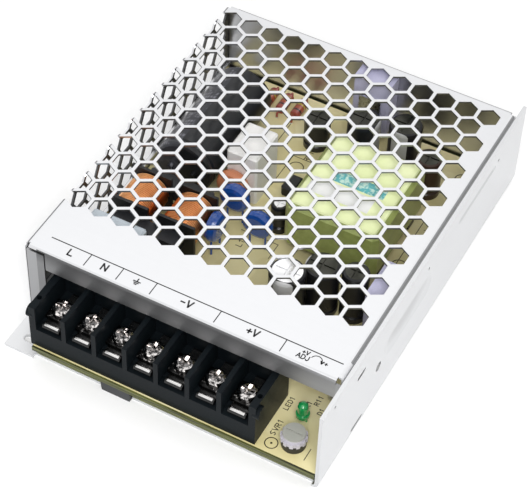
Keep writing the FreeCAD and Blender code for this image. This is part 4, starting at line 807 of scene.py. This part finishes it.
BOARD_NAMES = (("SVR1", 80.8, 6.3, 1.5), ("LED1", 79.9, 15.2, 1.3), ("R1", 84.6, 18.6, 1.3),
               ("R11", 86.4, 20.4, 1.3), ("D1", 88.6, 18.0, 1.3), ("S1", 90.6, 21.0, 1.3),
               ("L1", 41.0, 60, 1.6), ("R1", 44.5, 76, 1.6), ("D11", 85.4, 72, 1.6),
               ("R11", 88.4, 82, 1.6), ("L11", 76.0, 104, 1.6), ("RE1", 42, 100, 1.6))


def fill_silk(shape):
    height = BOARD_TOP + PRINT_RISE
    for x, y, radius in BOARD_RINGS:
        circle = arc(on_case(x, y), radius, 0, 360, RING_STEPS)
        stroke(shape, circle, RING_WIDTH * MM, height)
    for first, last in BOARD_LINES:
        stroke(shape, [on_case(*first), on_case(*last)], OUTLINE_WIDTH * MM, height)
    for word, x, y, size in BOARD_NAMES:
        write(shape, word, on_case(x, y), size, NAME_WIDTH, height, math.radians(90))


silk_print = add_piece("board_print", fill_silk, silk.material)
print(silk_print.name, len(silk_print.data.polygons), "strips")


# %% [markdown]
# The transformer wears a white paper strip near its front and a teal stamp behind it.
# Both are thin sheets on the tape, a little narrower than its top.

# %% Transformer label
paper = Finish("paper_label", Roughness=0.6)
paper.colour(paper.mix(paper.noise(500), (0.80, 0.80, 0.79), (0.88, 0.88, 0.87)))
stamp = Finish("teal_stamp", Roughness=0.5)
blots = stamp.between(stamp.noise(900, detail=3), 0.40, 0.55)
stamp.colour(stamp.mix(blots, (0.55, 0.75, 0.66), (0.10, 0.42, 0.45)))


def flat_patch(first, last, height):
    """A thin sheet between two corners on the drawing."""
    def fill(shape):
        low, high = on_case(*first), on_case(*last)
        size = Matrix.Diagonal((high.x - low.x, high.y - low.y, 1, 1))
        middle = (low + high) / 2
        place = Matrix.Translation((middle.x, middle.y, height))
        bmesh.ops.create_grid(shape, x_segments=1, y_segments=1, size=0.5,
                              matrix=place @ size)
    return fill


tape_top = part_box("transformer_tape")[1][2]
add_piece("transformer_label", flat_patch((54.4, 72.4), (73.6, 78.4), tape_top + PRINT_RISE),
          paper.material)
add_piece("transformer_stamp", flat_patch((59.0, 79.2), (75.2, 83.6), tape_top + PRINT_RISE),
          stamp.material)
print("label on the transformer at", round(tape_top / MM, 2), "mm")


# %% [markdown]
# A plain pale floor carries the case. The picture behind it is white, so the floor
# adds a little light of its own only where the camera, a mirror or glass looks at it.
# The room is white to those three, and gives the AMBIENT share of that as light.

# %% Floor and light
FLOOR_GLOW = 0.03
FLOOR_REACH = 4.0
AMBIENT = 0.70
# Each lamp looks at the origin, under the case: its place, its size and its power.
LAMPS = (("back_softbox", (-0.39, 0.42, 0.95), (0.9, 0.6), 0.75),
         ("side_softbox", (-0.9, -0.5, 0.7), (0.8, 0.8), 0.4),
         ("front_softbox", (0.35, -0.6, 0.8), (0.5, 0.5), 7.0))


def make_floor():
    shape = bmesh.new()
    bmesh.ops.create_grid(shape, x_segments=1, y_segments=1, size=FLOOR_REACH)
    mesh = bpy.data.meshes.new("floor")
    shape.to_mesh(mesh)
    shape.free()
    floor = bpy.data.objects.new("floor", mesh)
    bpy.context.scene.collection.objects.link(floor)
    finish = Finish("floor_white", Roughness=0.9)
    finish.shader.inputs["Specular IOR Level"].default_value = 0.1
    finish.colour((0.93, 0.93, 0.93))
    path = finish.tree.nodes.new("ShaderNodeLightPath")
    seen = Value(finish, path.outputs["Is Camera Ray"])
    mirrored = Value(finish, path.outputs["Is Glossy Ray"])
    through = Value(finish, path.outputs["Is Transmission Ray"])
    glow = (seen + mirrored + through) * FLOOR_GLOW
    finish.join(finish.mix(glow, (0, 0, 0), (1, 1, 1)),
                finish.shader.inputs["Emission Color"])
    finish.shader.inputs["Emission Strength"].default_value = 1.0
    mesh.materials.append(finish.material)


def make_world(ambient):
    world = bpy.data.worlds.new("studio")
    bpy.context.scene.world = world
    world.use_nodes = True
    tree = world.node_tree
    path = tree.nodes.new("ShaderNodeLightPath")
    total = path.outputs["Is Camera Ray"]
    for word in ("Is Glossy Ray", "Is Transmission Ray"):
        add = tree.nodes.new("ShaderNodeMath")
        add.operation = "ADD"
        tree.links.new(total, add.inputs[0])
        tree.links.new(path.outputs[word], add.inputs[1])
        total = add.outputs[0]
    level = tree.nodes.new("ShaderNodeMapRange")
    tree.links.new(total, level.inputs[0])
    level.inputs[3].default_value = ambient
    level.inputs[4].default_value = 1.0
    background = tree.nodes["Background"]
    background.inputs["Color"].default_value = (1, 1, 1, 1)
    tree.links.new(level.outputs[0], background.inputs["Strength"])


def make_lamp(name, place, size, watts):
    lamp = bpy.data.objects.new(name, bpy.data.lights.new(name, "AREA"))
    lamp.data.shape = "RECTANGLE"
    lamp.data.size, lamp.data.size_y = size
    lamp.data.energy = watts
    look = (-Vector(place)).to_track_quat("-Z", "Y").to_matrix().to_4x4()
    lamp.matrix_world = Matrix.Translation(place) @ look
    bpy.context.scene.collection.objects.link(lamp)


bpy.context.scene.view_settings.view_transform = "Standard"
make_floor()
make_world(AMBIENT)
for lamp in LAMPS:
    make_lamp(*lamp)
print("lit by the room and", len(LAMPS), "softboxes")
